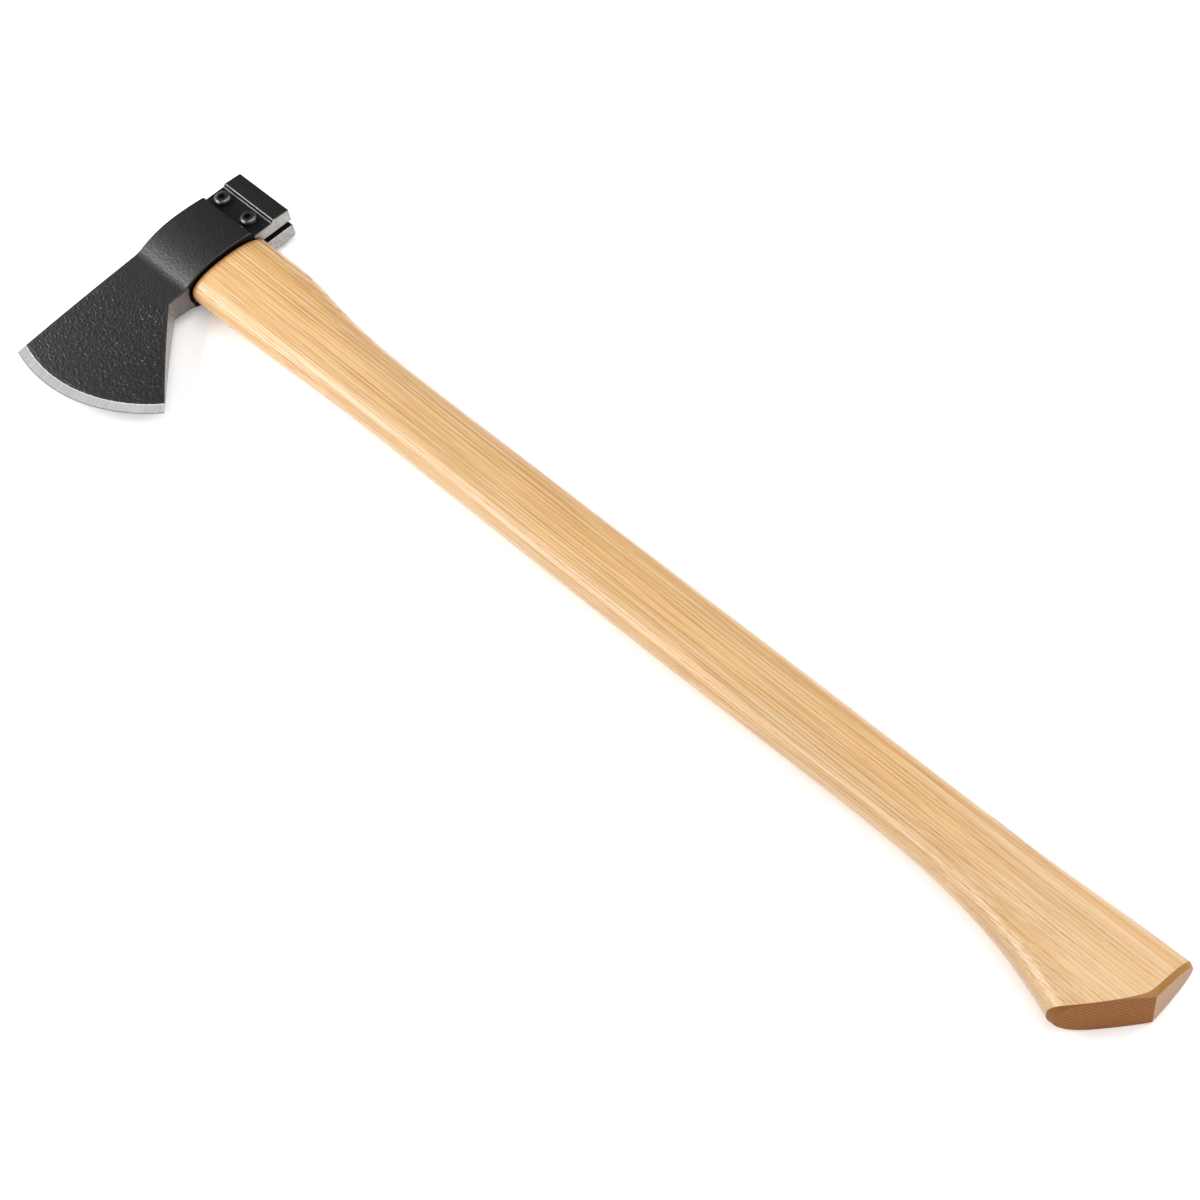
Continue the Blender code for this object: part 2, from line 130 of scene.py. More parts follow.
# Pebbled forge skin
PEBBLE_HEIGHT = 0.54 * MM
PEBBLE_SIZE = 1.35 * MM
PEBBLE_ON_EYE = 0.08
PEBBLE_START = 84.0 * MM
PEBBLE_FULL = 110.0 * MM
PEBBLE_FADE = 2.0 * MM

# Bare and worn places, black faces beside the eye, and painted shade in the channel and on the web
EYE_WALL_REAR = 26.5 * MM
EYE_WALL_FRONT = 80.2 * MM
WORN_LINE = 0.26 * MM
EDGE_LINE = 0.6 * MM
CHIP_X = -8.6 * MM
CHIP_HALF = 1.0 * MM
BEVEL_WANDER = 1.1 * MM
BEVEL_FUZZ = 0.06 * MM
GROOVE_HALF = 0.55 * MM
COAT_GRAIN = 0.34 * MM

# Colours of the steel, as (dark, light) where a material mottles between two
COAT_BLACK = ((0.0025, 0.0025, 0.0027, 1.0), (0.0065, 0.0065, 0.0068, 1.0))
# Painted shade for the channel's corners and floor
PAINTED_SHADE_BLACK = (0.001, 0.001, 0.001, 1.0)
BEVEL_STEEL = ((0.43, 0.43, 0.43, 1.0), (0.57, 0.57, 0.565, 1.0))
BEVEL_LIP = (0.9, 0.9, 0.9, 1.0)
BEVEL_EDGE = (0.17, 0.17, 0.17, 1.0)
MACHINED_STEEL = ((0.29, 0.28, 0.27, 1.0), (0.53, 0.52, 0.505, 1.0))
# Painted shade on the web beside the haft
WEB_PAINTED_SHADE = (0.13, 0.115, 0.105, 1.0)
EYE_BLACK = ((0.002, 0.002, 0.002, 1.0), (0.005, 0.005, 0.005, 1.0))
OXIDE_BLACK = ((0.07, 0.07, 0.07, 1.0), (0.17, 0.17, 0.168, 1.0))

# Haft
FRONT_POWER = 2.5
BUTT_FRONT_POWER = 3.0
BUTT_SWELL_X = 620.0 * MM
REAR_POWER = 2.15
OVAL_MEETING = 0.52
SHOULDER_GAP = 0.4 * MM
SHOULDER_ROUND = 0.9 * MM
BUTT_RIDGE = 54.9 * MM
BUTT_SLANT = math.radians(40.0)
CHAMFER_SLOPE = 0.62
CHAMFER_DEPTH = 1.6 * MM
RIDGE_SOFTNESS = 3.0 * MM
HAFT_SPACING = 2.5 * MM
BUTT_BLEND_X = 650.0 * MM

HAFT_FRONT = [
    (0.0, 80.0), (65.0, 78.3), (130.0, 75.6), (215.0, 74.5), (390.0, 73.4), (500.0, 71.5),
    (560.0, 71.0), (600.0, 73.0), (635.0, 78.2), (660.0, 84.8), (684.0, 93.2), (714.0, 105.0),
]
HAFT_REAR = [
    (0.0, 21.9), (48.0, 22.5), (80.0, 26.6), (105.0, 29.4), (135.0, 30.9), (175.0, 31.2),
    (300.0, 30.4), (480.0, 29.0), (620.0, 28.2), (680.0, 25.9), (714.0, 24.8),
]
HAFT_HALF = [
    (0.0, 11.9), (60.0, 11.9), (130.0, 12.1), (350.0, 12.6), (540.0, 13.0), (620.0, 14.3),
    (680.0, 15.4), (714.0, 15.5),
]
# The butt's chamfer, as (distance ahead of the ridge, width along the haft)
CHAMFER_ALONG = [
    (-40.0, 2.6), (-3.0, 2.6), (3.0, 1.6), (12.0, 0.4), (21.0, 0.15), (29.0, 0.9), (35.0, 2.6),
    (40.0, 3.9), (45.0, 2.4), (50.5, 0.3),
]

# Hickory's growth layers
RING_TILT = 1.3
RING_PITCH = 3.0 * MM
RING_DRIFT = 6.0 * MM
RING_RIPPLE = 1.8 * MM

# Where the wood's colour changes, along the haft and across it, with painted light by the head and
# painted shade on the swell's front flank and along the rear edge
NECK_LIGHT_FADE_X = 180.0 * MM
CLEAR_FROM_X = 560.0 * MM
CLEAR_TO_X = 700.0 * MM
# Painted shade on the front flank of the swell
FLANK_SHADE_FROM_X = 540.0 * MM
FLANK_SHADE_TO_X = 640.0 * MM
FLANK_SHADE_FROM = 70.0 * MM
FLANK_SHADE_TO = 78.0 * MM
FLANK_SHADE_ABOVE = 9.0 * MM
FLANK_SHADE_BELOW = 3.0 * MM
# Painted shade along the haft's rear edge
REAR_EDGE_SHADE = 35.5 * MM
REAR_EDGE_SHADE_HALF = 1.8 * MM
REAR_EDGE_SHADE_SOFT = 1.4 * MM
SHOULDER_DARK_LENGTH = 4.0 * MM
EYE_SHADE = 30.0 * MM

# Colours of the wood
PALE_WOOD = (0.65, 0.455, 0.252, 1.0)
WARM_WOOD = (0.70, 0.435, 0.195, 1.0)
# Painted light by the head
NECK_PAINTED_LIGHT_WOOD = (0.82, 0.515, 0.245, 1.0)
# Painted shade on the swell's front flank
FLANK_SHADE_WOOD = (0.42, 0.235, 0.10, 1.0)
# Painted shade along the rear edge
REAR_SHADE_WOOD = (0.68, 0.34, 0.10, 1.0)
FIBRE_WOOD = (0.49, 0.275, 0.100, 1.0)
EARLY_WOOD = (0.39, 0.165, 0.034, 1.0)
PORE_WOOD = (0.27, 0.105, 0.022, 1.0)
CHAMFER_WOOD = (0.36, 0.20, 0.062, 1.0)
NOSE_CHAMFER_WOOD = (0.25, 0.107, 0.029, 1.0)
END_LATE = (0.50, 0.198, 0.048, 1.0)
END_EARLY = (0.22, 0.070, 0.013, 1.0)
# Painted light on the faces square to the haft
SQUARE_END_PAINTED_LIGHT = (0.64, 0.44, 0.31, 1.0)
SHOULDER_DARK_WOOD = (0.42, 0.15, 0.035, 1.0)
SHADED_WOOD = (0.006, 0.005, 0.004, 1.0)

# Screws and nuts
SCREW_HEAD_RADIUS = 5.55 * MM
SCREW_HEAD_HEIGHT = 3.35 * MM
SCREW_RIM = 0.7 * MM
CROWN_RADIUS = 3.1 * MM
THREAD_CREST = 3.12 * MM
THREAD_ROOT = 2.45 * MM
THREAD_PITCH = 1.27 * MM
THREAD_CLEARANCE = 0.06 * MM
SOCKET_FLATS = 3.97 * MM
SOCKET_DEPTH = 2.2 * MM
SOCKET_CHAMFER = 0.3 * MM
HOLE_RADIUS = 3.475 * MM
NUT_FLATS = 11.11 * MM
NUT_CHAMFER = 0.55 * MM
TIP_TAPER = 0.7 * MM
RIM_BREAK = 0.15 * MM
DRILL_CONE = 0.6 * MM
DRILL_RADIUS = 1.75 * MM

# Mesh density
ACROSS_HEAD = 130
FAN_ROWS = 150
BEVEL_ROWS = 8
CHEEK_ROWS = 60
FLAT_ROWS = 16
KINK_ROWS = 10
CORNER_STEPS = 4
HAFT_SIDES = 128
ROUND_SIDES = 64
NUT_SIDES = 96
ROWS_PER_THREAD = 10
SHARP_ANGLE = math.radians(32.0)

# Camera
CAMERA_AT = (0.62774, -0.39223, 1.07206)
CAMERA_TURN = (34.42947, 6.67542, 46.21923)
CAMERA_LENS = 71.544
CAMERA_SENSOR = 36.0

# Stage: soft boxes as (name, direction, distance, width, height, radiance), floor and surround
SOFTBOXES = [
    ("key", (-0.60, -0.61, 0.53), 1.6, 1.4, 0.9, 6.2),
    ("graze", (-0.92, -0.10, 0.38), 1.6, 1.3, 0.4, 1.8),
    ("overhead", (0.30, 0.16, 0.93), 1.8, 1.8, 1.8, 2.6),
    ("fill", (0.20, 0.82, 0.54), 1.7, 1.6, 0.9, 2.6),
]
WHITE = (1.0, 1.0, 1.0, 1.0)
FLOOR_TONES = ((0.90, 0.90, 0.90, 1.0), (0.93, 0.93, 0.93, 1.0))
FLOOR_GLOW = 0.28
FLOOR_SIZE = 4.0
SURROUND = 0.13


# Meshes -----------------------------------


def mix(a, b, t):
    """Value at t between a and b."""
    return a + (b - a) * t


def clamp(value):
    """Value held between 0 and 1."""
    return min(max(value, 0.0), 1.0)


def shares(count):
    """Even shares from 0 to 1, both included."""
    return [k / count for k in range(count + 1)]


def quarter_turn(steps):
    """Angles evenly over a quarter turn."""
    return [math.pi / 2.0 * k / steps for k in range(steps + 1)]


def add_object(name, data):
    """A new object in the scene."""
    obj = bpy.data.objects.new(name, data)
    bpy.context.scene.collection.objects.link(obj)
    return obj


def mesh_object(name, rings, faces, material, shift=ORIGIN):
    """A mesh over rings of design-frame points, carried to the row frame."""
    mesh = bpy.data.meshes.new(name)
    points = [tuple(Vector(point) + shift) for ring in rings for point in ring]
    mesh.from_pydata(points, [], faces)
    mesh.materials.append(material)
    mesh.update()
    return add_object(name, mesh)


def outward(obj):
    """Turn every face of a closed mesh to point out."""
    bm = bmesh.new()
    bm.from_mesh(obj.data)
    bmesh.ops.recalc_face_normals(bm, faces=bm.faces)
    bm.to_mesh(obj.data)
    bm.free()
    return obj


def smooth(obj):
    """Smooth shading with sharp edges where faces meet at a clear angle."""
    obj.data.shade_smooth()
    obj.data.set_sharp_from_angle(angle=SHARP_ANGLE)


def loft_faces(rings, around):
    """Quads between consecutive rings of equal length."""
    faces = []
    for r in range(rings - 1):
        for i in range(around):
            j = (i + 1) % around
            low, high = r * around, (r + 1) * around
            faces.append((low + i, low + j, high + j, high + i))
    return faces


def strip_cap(first, around):
    """Quads across a ring whose second half mirrors its first."""
    return [
        (first + i, first + i + 1, first + around - 2 - i, first + around - 1 - i)
        for i in range(around // 2 - 1)
    ]


def bezier(a, b, c, t):
    """Point at t on the quadratic curve that rounds the corner b between a and c."""
    return tuple(mix(mix(p, q, t), mix(q, r, t), t) for p, q, r in zip(a, b, c))


def rounded(points, softness):
    """A path with chosen corners rounded; softness gives each corner's cut-back, or zero."""
    path = [points[0]]
    for i in range(1, len(points) - 1):
        here = points[i]
        if not softness[i]:
            path.append(here)
            continue
        ends = []
        for other in (points[i - 1], points[i + 1]):
            share = min(softness[i] / math.dist(here, other), 0.45)
            ends.append(tuple(mix(p, q, share) for p, q in zip(here, other)))
        path += [bezier(ends[0], here, ends[1], t) for t in shares(CORNER_STEPS)]
    path.append(points[-1])
    return path


def through(points, x):
    """Smooth curve through points (in millimetres), read at x in metres."""
    at = x / MM
    last = len(points) - 1
    i = 0
    while i < last - 1 and at > points[i + 1][0]:
        i += 1
    slopes = []
    for k in (i, i + 1):
        low = points[max(k - 1, 0)]
        high = points[min(k + 1, last)]
        slopes.append((high[1] - low[1]) / (high[0] - low[0]))
    x0, y0 = points[i]
    x1, y1 = points[i + 1]
    width = x1 - x0
    t = (at - x0) / width
    h00 = (1.0 + 2.0 * t) * (1.0 - t) ** 2
    h10 = t * (1.0 - t) ** 2
    h01 = t * t * (3.0 - 2.0 * t)
    h11 = t * t * (t - 1.0)
    return (h00 * y0 + h10 * width * slopes[0] + h01 * y1 + h11 * width * slopes[1]) * MM


def keep_in_box(obj, node):
    """Hold a piece inside its CAD node's box, against the last hundredths of a millimetre."""
    low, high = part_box(node)
    for vertex in obj.data.vertices:
        for axis in range(3):
            vertex.co[axis] = min(max(vertex.co[axis], low[axis]), high[axis])


# Materials --------------------------------


def feed(tree, made, inputs):
    """Set a node's inputs, each to a value or from another node's socket."""
    for key, value in inputs.items():
        if isinstance(value, bpy.types.NodeSocket):
            tree.links.new(value, made.inputs[key])
        else:
            made.inputs[key].default_value = value


def node(tree, kind, inputs=None, **settings):
    """Add a shader node with its settings and its inputs."""
    made = tree.nodes.new(kind)
    for key, value in settings.items():
        setattr(made, key, value)
    feed(tree, made, inputs or {})
    return made


def math_node(tree, operation, *values):
    """Output of a Math node over one to three values."""
    return node(tree, "ShaderNodeMath", dict(enumerate(values)), operation=operation).outputs[0]


def times(tree, a, b):
    """Product of two values."""
    return math_node(tree, "MULTIPLY", a, b)


def blend(tree, share, low, high):
    """Colour between low and high."""
    made = node(tree, "ShaderNodeMix", {"Factor": share, 6: low, 7: high}, data_type="RGBA")
    return made.outputs[2]


def span(tree, value, low, high, to_low=0.0, to_high=1.0):
    """Smooth step of value from low to high."""
    made = node(
        tree, "ShaderNodeMapRange",
        {"Value": value, "From Min": low, "From Max": high, "To Min": to_low, "To Max": to_high},
        interpolation_type="SMOOTHSTEP",
    )
    return made.outputs[0]


def noise_node(tree, coords, scale, detail=2.0, roughness=0.5, stretch=None):
    """Noise value over coordinates, stretched by a scale along each axis."""
    if stretch:
        coords = node(tree, "ShaderNodeMapping", {"Vector": coords, "Scale": stretch}).outputs[0]
    made = node(
        tree, "ShaderNodeTexNoise",
        {"Vector": coords, "Scale": scale, "Detail": detail, "Roughness": roughness},
    )
    return made.outputs["Fac"]


def new_material(name):
    """A material with its tree, its Principled shader and object coordinates."""
    material = bpy.data.materials.new(name)
    material.use_nodes = True
    tree = material.node_tree
    shader = tree.nodes["Principled BSDF"]
    coords = node(tree, "ShaderNodeTexCoord").outputs["Object"]
    return material, tree, shader, coords


def relief(tree, height, distance, strength):
    """Normal that tilts with a height."""
    inputs = {"Height": height, "Distance": distance, "Strength": strength}
    return node(tree, "ShaderNodeBump", inputs).outputs[0]


def head_places(tree, coords):
    """Distance behind the striking face, distance from the edge's centre, and angle about it."""
    place = node(tree, "ShaderNodeSeparateXYZ", {0: coords})
    behind = math_node(tree, "SUBTRACT", ORIGIN.y, place.outputs[1])
    dx = math_node(tree, "SUBTRACT", place.outputs[0], ORIGIN.x + EDGE_CENTRE_X)
    dy = math_node(tree, "SUBTRACT", place.outputs[1], ORIGIN.y + EDGE_CENTRE_Y)
    flat = node(tree, "ShaderNodeCombineXYZ", {0: dx, 1: dy}).outputs[0]
    radius = node(tree, "ShaderNodeVectorMath", {0: flat}, operation="LENGTH").outputs["Value"]
    return place.outputs[0], behind, radius, math_node(tree, "ARCTAN2", dy, dx)


def band(tree, value, middle, half, soft):
    """One inside a band about middle, falling softly to zero outside it."""
    away = math_node(tree, "ABSOLUTE", math_node(tree, "SUBTRACT", value, middle))
    return span(tree, away, half - soft, half + soft, 1.0, 0.0)


def worn_share(tree, coords, x, behind):
    """One where the coat is rubbed off: two lines along the block's step, and a chip."""
    broken = span(tree, noise_node(tree, coords, 150.0), 0.22, 0.40)
    upper_line = band(tree, behind, BLOCK_LENGTH - 0.2 * MM, WORN_LINE, 0.08 * MM)
    lower_line = band(tree, behind, BLOCK_LENGTH + STEP_RUN + 0.35 * MM, WORN_LINE, 0.08 * MM)
    worn = times(tree, math_node(tree, "MAXIMUM", upper_line, lower_line), broken)
    chip_x = band(tree, x, ORIGIN.x + CHIP_X, CHIP_HALF, 0.3 * CHIP_HALF)
    chip_y = band(tree, behind, CHEEK_REAR, 0.3 * CHIP_HALF, 0.15 * CHIP_HALF)
    return math_node(tree, "MAXIMUM", worn, times(tree, chip_x, chip_y))


def channel_shade_share(tree, behind):
    """One in the channel's corners and half over its floor: painted shade, matt black for the
    shadow in the step wall, the groove and the channel.
    """
    wall = band(tree, behind, BLOCK_LENGTH + 0.55 * STEP_RUN, 0.3 * STEP_RUN, 0.15 * MM)
    groove = band(tree, behind, CHANNEL_FRONT + 0.2 * MM, GROOVE_HALF, 0.2 * MM)
    corners = math_node(tree, "MAXIMUM", wall, groove)
    floor_half = 0.5 * (CHANNEL_FRONT - BLOCK_LENGTH - STEP_RUN)
    channel = band(tree, behind, CHANNEL_FRONT - floor_half, floor_half, 0.5 * MM)
    return math_node(tree, "MAXIMUM", corners, times(tree, channel, 0.5))


def coated_steel():
    """Satin black coat over the forge skin, ground to bright steel on the bevel, worn on edges,
    with painted shade in the channel.
    """
    material, tree, shader, coords = new_material("black_coat")
    x, behind, radius, angle = head_places(tree, coords)

    wander = math_node(tree, "SUBTRACT", noise_node(tree, coords, 420.0, 3.0, 0.6), 0.5)
    ragged = math_node(tree, "MULTIPLY_ADD", wander, BEVEL_WANDER, radius)
    start = EDGE_RADIUS - BEVEL_WIDTH
    ground = span(tree, ragged, start - BEVEL_FUZZ, start + BEVEL_FUZZ)
    lip = band(tree, ragged, start + 0.2 * MM, 0.18 * MM, 0.12 * MM)
    on_edge = span(tree, radius, EDGE_RADIUS - EDGE_LINE, EDGE_RADIUS - 0.5 * EDGE_LINE)
    bare = math_node(tree, "MAXIMUM", ground, worn_share(tree, coords, x, behind))
    # Painted shade: matt black, with its gloss taken away, in the channel's corners and over half
    # its floor.
    painted_shade = channel_shade_share(tree, behind)

    along = node(tree, "ShaderNodeCombineXYZ", {0: angle, 1: radius}).outputs[0]
    lines = noise_node(tree, along, 1.0, 4.0, 0.75, (150.0, 40.0, 1.0))
    fine = noise_node(tree, coords, 1700.0)
    grain = noise_node(tree, coords, 700.0, 3.0, 0.6)

    steel = blend(tree, span(tree, lines, 0.3, 0.7), *BEVEL_STEEL)
    steel = blend(tree, lip, steel, BEVEL_LIP)
    steel = blend(tree, on_edge, steel, BEVEL_EDGE)
    coat = blend(tree, painted_shade, blend(tree, fine, *COAT_BLACK), PAINTED_SHADE_BLACK)
    coat_rough = span(tree, fine, 0.2, 0.8, 0.30, 0.39)
    steel_rough = span(tree, lines, 0.2, 0.8, 0.38, 0.52)
    height = node(tree, "ShaderNodeMix", {"Factor": ground, 2: grain, 3: lines}).outputs[0]
    rough = node(tree, "ShaderNodeMix", {"Factor": bare, 2: coat_rough, 3: steel_rough})
    feed(tree, shader, {
        "Base Color": blend(tree, bare, coat, steel),
        "Metallic": bare,
        "Specular IOR Level": span(tree, painted_shade, 0.0, 1.0, 0.7, 0.05),
        "Roughness": rough.outputs[0],
        "Normal": relief(tree, height, COAT_GRAIN, 0.8),
    })
    return material


def bare_steel():
    """Machined lower and upper faces of the head: satin, slightly brown, with cutter marks, and
    painted shade on the web beside the haft.
    """
    material, tree, shader, coords = new_material("machined_steel")
    marks = noise_node(tree, coords, 1.0, 3.0, 0.65, (2600.0, 1500.0, 220.0))
    tone_share = noise_node(tree, coords, 320.0, 4.0, 0.6)
    shade = math_node(tree, "MULTIPLY_ADD", marks, 0.6, times(tree, tone_share, 0.4))
    shade = span(tree, shade, 0.3, 0.7)
    color = blend(tree, shade, *MACHINED_STEEL)
    behind = head_places(tree, coords)[1]
    web_middle = 0.5 * (BEARD + EYE_WALL_FRONT)
    web_half = 0.5 * (BEARD - EYE_WALL_FRONT)
    # Painted shade: the web between the eye and the beard is darkened, as where the haft shades it.
    web_shade = band(tree, behind, web_middle, web_half, 1.5 * MM)
    feed(tree, shader, {
        "Base Color": blend(tree, times(tree, web_shade, 0.75), color, WEB_PAINTED_SHADE),
        "Metallic": 0.9,
        "Roughness": span(tree, marks, 0.2, 0.8, 0.40, 0.55),
        "Normal": relief(tree, marks, 0.03 * MM, 0.6),
    })
    return material


def eye_black():
    """Matt black inside the eye, the slit and the screw holes."""
    material, tree, shader, coords = new_material("eye_black")
    speck = noise_node(tree, coords, 900.0)
    feed(tree, shader, {
        "Base Color": blend(tree, speck, *EYE_BLACK),
        "Roughness": span(tree, speck, 0.2, 0.8, 0.65, 0.85),
        "Specular IOR Level": 0.2,
        "Normal": relief(tree, speck, 0.05 * MM, 0.4),
    })
    return material


def black_oxide():
    """Black-oxide screw steel, worn a little brighter on fine turning marks."""
    material, tree, shader, coords = new_material("black_oxide")
    wear = noise_node(tree, coords, 1400.0, 3.0)
    feed(tree, shader, {
        "Base Color": blend(tree, wear, *OXIDE_BLACK),
        "Metallic": 1.0,
        "Roughness": span(tree, wear, 0.2, 0.8, 0.26, 0.40),
        "Normal": relief(tree, wear, 0.02 * MM, 0.4),
    })
    return material


def growth_layers(tree, coords, y, z):
    """Position across the growth layers, in layers, gently warped along the grain."""
    drift = noise_node(tree, coords, 1.0, 2.0, 0.5, (3.6, 22.0, 22.0))
    ripple = noise_node(tree, coords, 1.0, 3.0, 0.55, (14.0, 130.0, 130.0))
    across_rings = math_node(tree, "MULTIPLY_ADD", y, RING_TILT, z)
    across_rings = math_node(tree, "MULTIPLY_ADD", drift, RING_DRIFT, across_rings)
    across_rings = math_node(tree, "MULTIPLY_ADD", ripple, RING_RIPPLE, across_rings)
    return math_node(tree, "DIVIDE", across_rings, RING_PITCH)


def year_lines(tree, layers):
    """Early wood at the start of each growth layer, stronger in some years than in others."""
    within = math_node(tree, "FRACT", layers)
    index = math_node(tree, "FLOOR", layers)
    random = node(tree, "ShaderNodeTexWhiteNoise", {"W": index}, noise_dimensions="1D")
    vigour = span(tree, random.outputs["Value"], 0.0, 1.0, 0.15, 1.0)
    rise = span(tree, within, 0.0, 0.06)
    fall = span(tree, within, 0.10, 0.26)
    return times(tree, math_node(tree, "SUBTRACT", rise, fall), vigour)


def flank_shade_share(tree, x, y, z):
    """Share of painted shade, a darker wood colour, on the front flank of the swell towards the
    butt.
    """
    along = span(tree, x, ORIGIN.x + FLANK_SHADE_FROM_X, ORIGIN.x + FLANK_SHADE_TO_X)
    front = span(tree, y, ORIGIN.y - FLANK_SHADE_FROM, ORIGIN.y - FLANK_SHADE_TO)
    below = span(tree, z, ORIGIN.z + FLANK_SHADE_ABOVE, ORIGIN.z + FLANK_SHADE_BELOW)
    share = times(tree, along, times(tree, front, below))
    return times(tree, share, 0.75)


def ground_tone(tree, coords, layers, place):
    """The wood's colour between its lines: pale to warm, changing along and across the haft, with
    painted light by the head and painted shade on the swell's front flank and along the rear edge.
    """
    x, y, z = place
    years = node(tree, "ShaderNodeCombineXYZ", {0: layers}).outputs[0]
    run = noise_node(tree, years, 0.45, 2.0, 0.6)
    patch = noise_node(tree, coords, 1.0, 2.0, 0.5, (9.0, 60.0, 60.0))
    tone = math_node(tree, "MULTIPLY_ADD", run, 0.6, times(tree, patch, 0.4))
    wood = blend(tree, span(tree, tone, 0.35, 0.65), PALE_WOOD, WARM_WOOD)
    # Painted light: lighter towards the head, where the overhead light's reflection falls.
    neck_light = span(tree, x, ORIGIN.x, ORIGIN.x + NECK_LIGHT_FADE_X, 0.7, 0.0)
    wood = blend(tree, neck_light, wood, NECK_PAINTED_LIGHT_WOOD)
    # Painted shade on the front flank of the swell.
    wood = blend(tree, flank_shade_share(tree, x, y, z), wood, FLANK_SHADE_WOOD)
    # Painted shade: a darker, deeper orange line along the rear edge, where the surface turns away
    # from the light.
    rear = band(tree, y, ORIGIN.y - REAR_EDGE_SHADE, REAR_EDGE_SHADE_HALF, REAR_EDGE_SHADE_SOFT)
    return blend(tree, times(tree, rear, 0.55), wood, REAR_SHADE_WOOD)


def eye_share(tree, x):
    """One on the stretch of tongue above the shoulder, which is dark behind the eye's mouth."""
    shoulder = ORIGIN.x + SHOULDER_GAP
    inside = span(tree, x, shoulder, shoulder + 0.25 * MM, 1.0, 0.0)
    deep = span(tree, x, shoulder - EYE_SHADE, shoulder - 0.8 * EYE_SHADE)
    return times(tree, inside, deep)


def hickory():
    """Solid hickory: growth layers, pores and fibres through the whole haft, under varnish."""
    material, tree, shader, coords = new_material("varnished_hickory")
    place = node(tree, "ShaderNodeSeparateXYZ", {0: coords}).outputs[:3]
    x, y, z = place
    layers = growth_layers(tree, coords, y, z)
    early = year_lines(tree, layers)
    dash = noise_node(tree, coords, 1.0, 1.0, 0.5, (150.0, 1300.0, 1300.0))
    pores = times(tree, span(tree, dash, 0.52, 0.64), early)
    fibre = noise_node(tree, coords, 1.0, 2.0, 0.7, (12.0, 1000.0, 1000.0))
    clear = span(tree, x, ORIGIN.x + CLEAR_FROM_X, ORIGIN.x + CLEAR_TO_X, 1.0, 0.6)

    wood = ground_tone(tree, coords, layers, place)
    streak = times(tree, span(tree, fibre, 0.38, 0.66, 0.0, 0.85), clear)
    wood = blend(tree, streak, wood, FIBRE_WOOD)
    wood = blend(tree, times(tree, early, clear), wood, EARLY_WOOD)
    wood = blend(tree, times(tree, pores, 0.55), wood, PORE_WOOD)
    # The wood is darker towards the shoulder, over a few millimetres below the head.
    shoulder = ORIGIN.x + SHOULDER_GAP
    tone_share = span(tree, x, shoulder, shoulder + SHOULDER_DARK_LENGTH, 0.9, 0.0)
    wood = blend(tree, tone_share, wood, SHOULDER_DARK_WOOD)
    inside = eye_share(tree, x)
    height = math_node(tree, "MULTIPLY_ADD", pores, -1.0, times(tree, fibre, 0.8))
    height = math_node(tree, "MULTIPLY_ADD", dash, 0.6, height)
    normal = relief(tree, height, 0.12 * MM, 0.8)
    feed(tree, shader, {
        "Base Color": blend(tree, inside, wood, SHADED_WOOD),
        "Roughness": span(tree, fibre, 0.2, 0.8, 0.50, 0.62),
        "Specular IOR Level": span(tree, inside, 0.0, 1.0, 0.3, 0.05),
        "Coat Weight": span(tree, inside, 0.0, 1.0, 0.8, 0.0),
        "Coat Roughness": 0.22,
        "Normal": normal,
        "Coat Normal": normal,
    })
    return material


def end_grain():
    """Sawn hickory on both ends, its layers seen end on, the square faces lighter as painted light,
    and the butt's golden-brown chamfer.
    """
    material, tree, shader, coords = new_material("hickory_end")
    place = node(tree, "ShaderNodeSeparateXYZ", {0: coords})
    layers = growth_layers(tree, coords, place.outputs[1], place.outputs[2])
    within = math_node(tree, "FRACT", layers)
    year = math_node(tree, "SUBTRACT", span(tree, within, 0.0, 0.2), span(tree, within, 0.35, 0.8))
    speck = noise_node(tree, coords, 1100.0, 3.0, 0.6)
    share = math_node(tree, "MULTIPLY_ADD", year, 0.35, times(tree, speck, 0.8))
    tone = blend(tree, share, END_LATE, END_EARLY)

    normal = node(tree, "ShaderNodeTexCoord").outputs["Normal"]
    facing = node(tree, "ShaderNodeSeparateXYZ", {0: normal}).outputs[0]
    facing = math_node(tree, "ABSOLUTE", facing)
    # Painted light: faces square to the haft are made lighter than the slant face.
    tone = blend(tree, span(tree, facing, 0.85, 0.95, 0.0, 0.7), tone, SQUARE_END_PAINTED_LIGHT)
    chamfer = span(tree, facing, 0.70, 0.62)
    ridge_y = ORIGIN.y - BUTT_RIDGE
    nose = span(tree, place.outputs[1], ridge_y - 2.0 * MM, ridge_y - 22.0 * MM)
    cut = blend(tree, share, CHAMFER_WOOD, EARLY_WOOD)
    cut = blend(tree, nose, cut, NOSE_CHAMFER_WOOD)
    lacquer = times(tree, chamfer, math_node(tree, "SUBTRACT", 1.0, nose))
    feed(tree, shader, {
        "Base Color": blend(tree, chamfer, tone, cut),
        "Roughness": span(tree, speck, 0.3, 0.7, 0.60, 0.75),
        "Specular IOR Level": 0.1,
        "Coat Weight": span(tree, lacquer, 0.0, 1.0, 0.08, 0.4),
        "Coat Roughness": 0.30,
        "Normal": relief(tree, share, 0.08 * MM, 0.6),
    })
    return material


# Head -------------------------------------


def cheek_half(y, crown, front):
    """Half thickness of the eye cheek at a distance y, from its crown down to its front."""
    if y < CHEEK_CROWN:
        t = (CHEEK_CROWN - y) / (CHEEK_CROWN - CHEEK_REAR)
        return crown - CHEEK_REAR_DROP * t * t
    t = (y - CHEEK_CROWN) / (CHEEK_FRONT - CHEEK_CROWN)
    return crown - (crown - front) * t ** FLARE_POWER


def poll_rows():
    """Rows (distance, half at top, half at bottom, inset) that round the striking face."""
    rows = []
    for angle in quarter_turn(CORNER_STEPS):
        drop = POLL_ROUND * (1.0 - math.sin(angle))
        half = STRIKING_FACE_HALF - drop
        rows.append((POLL_ROUND * (1.0 - math.cos(angle)), half, half, drop))
    return rows


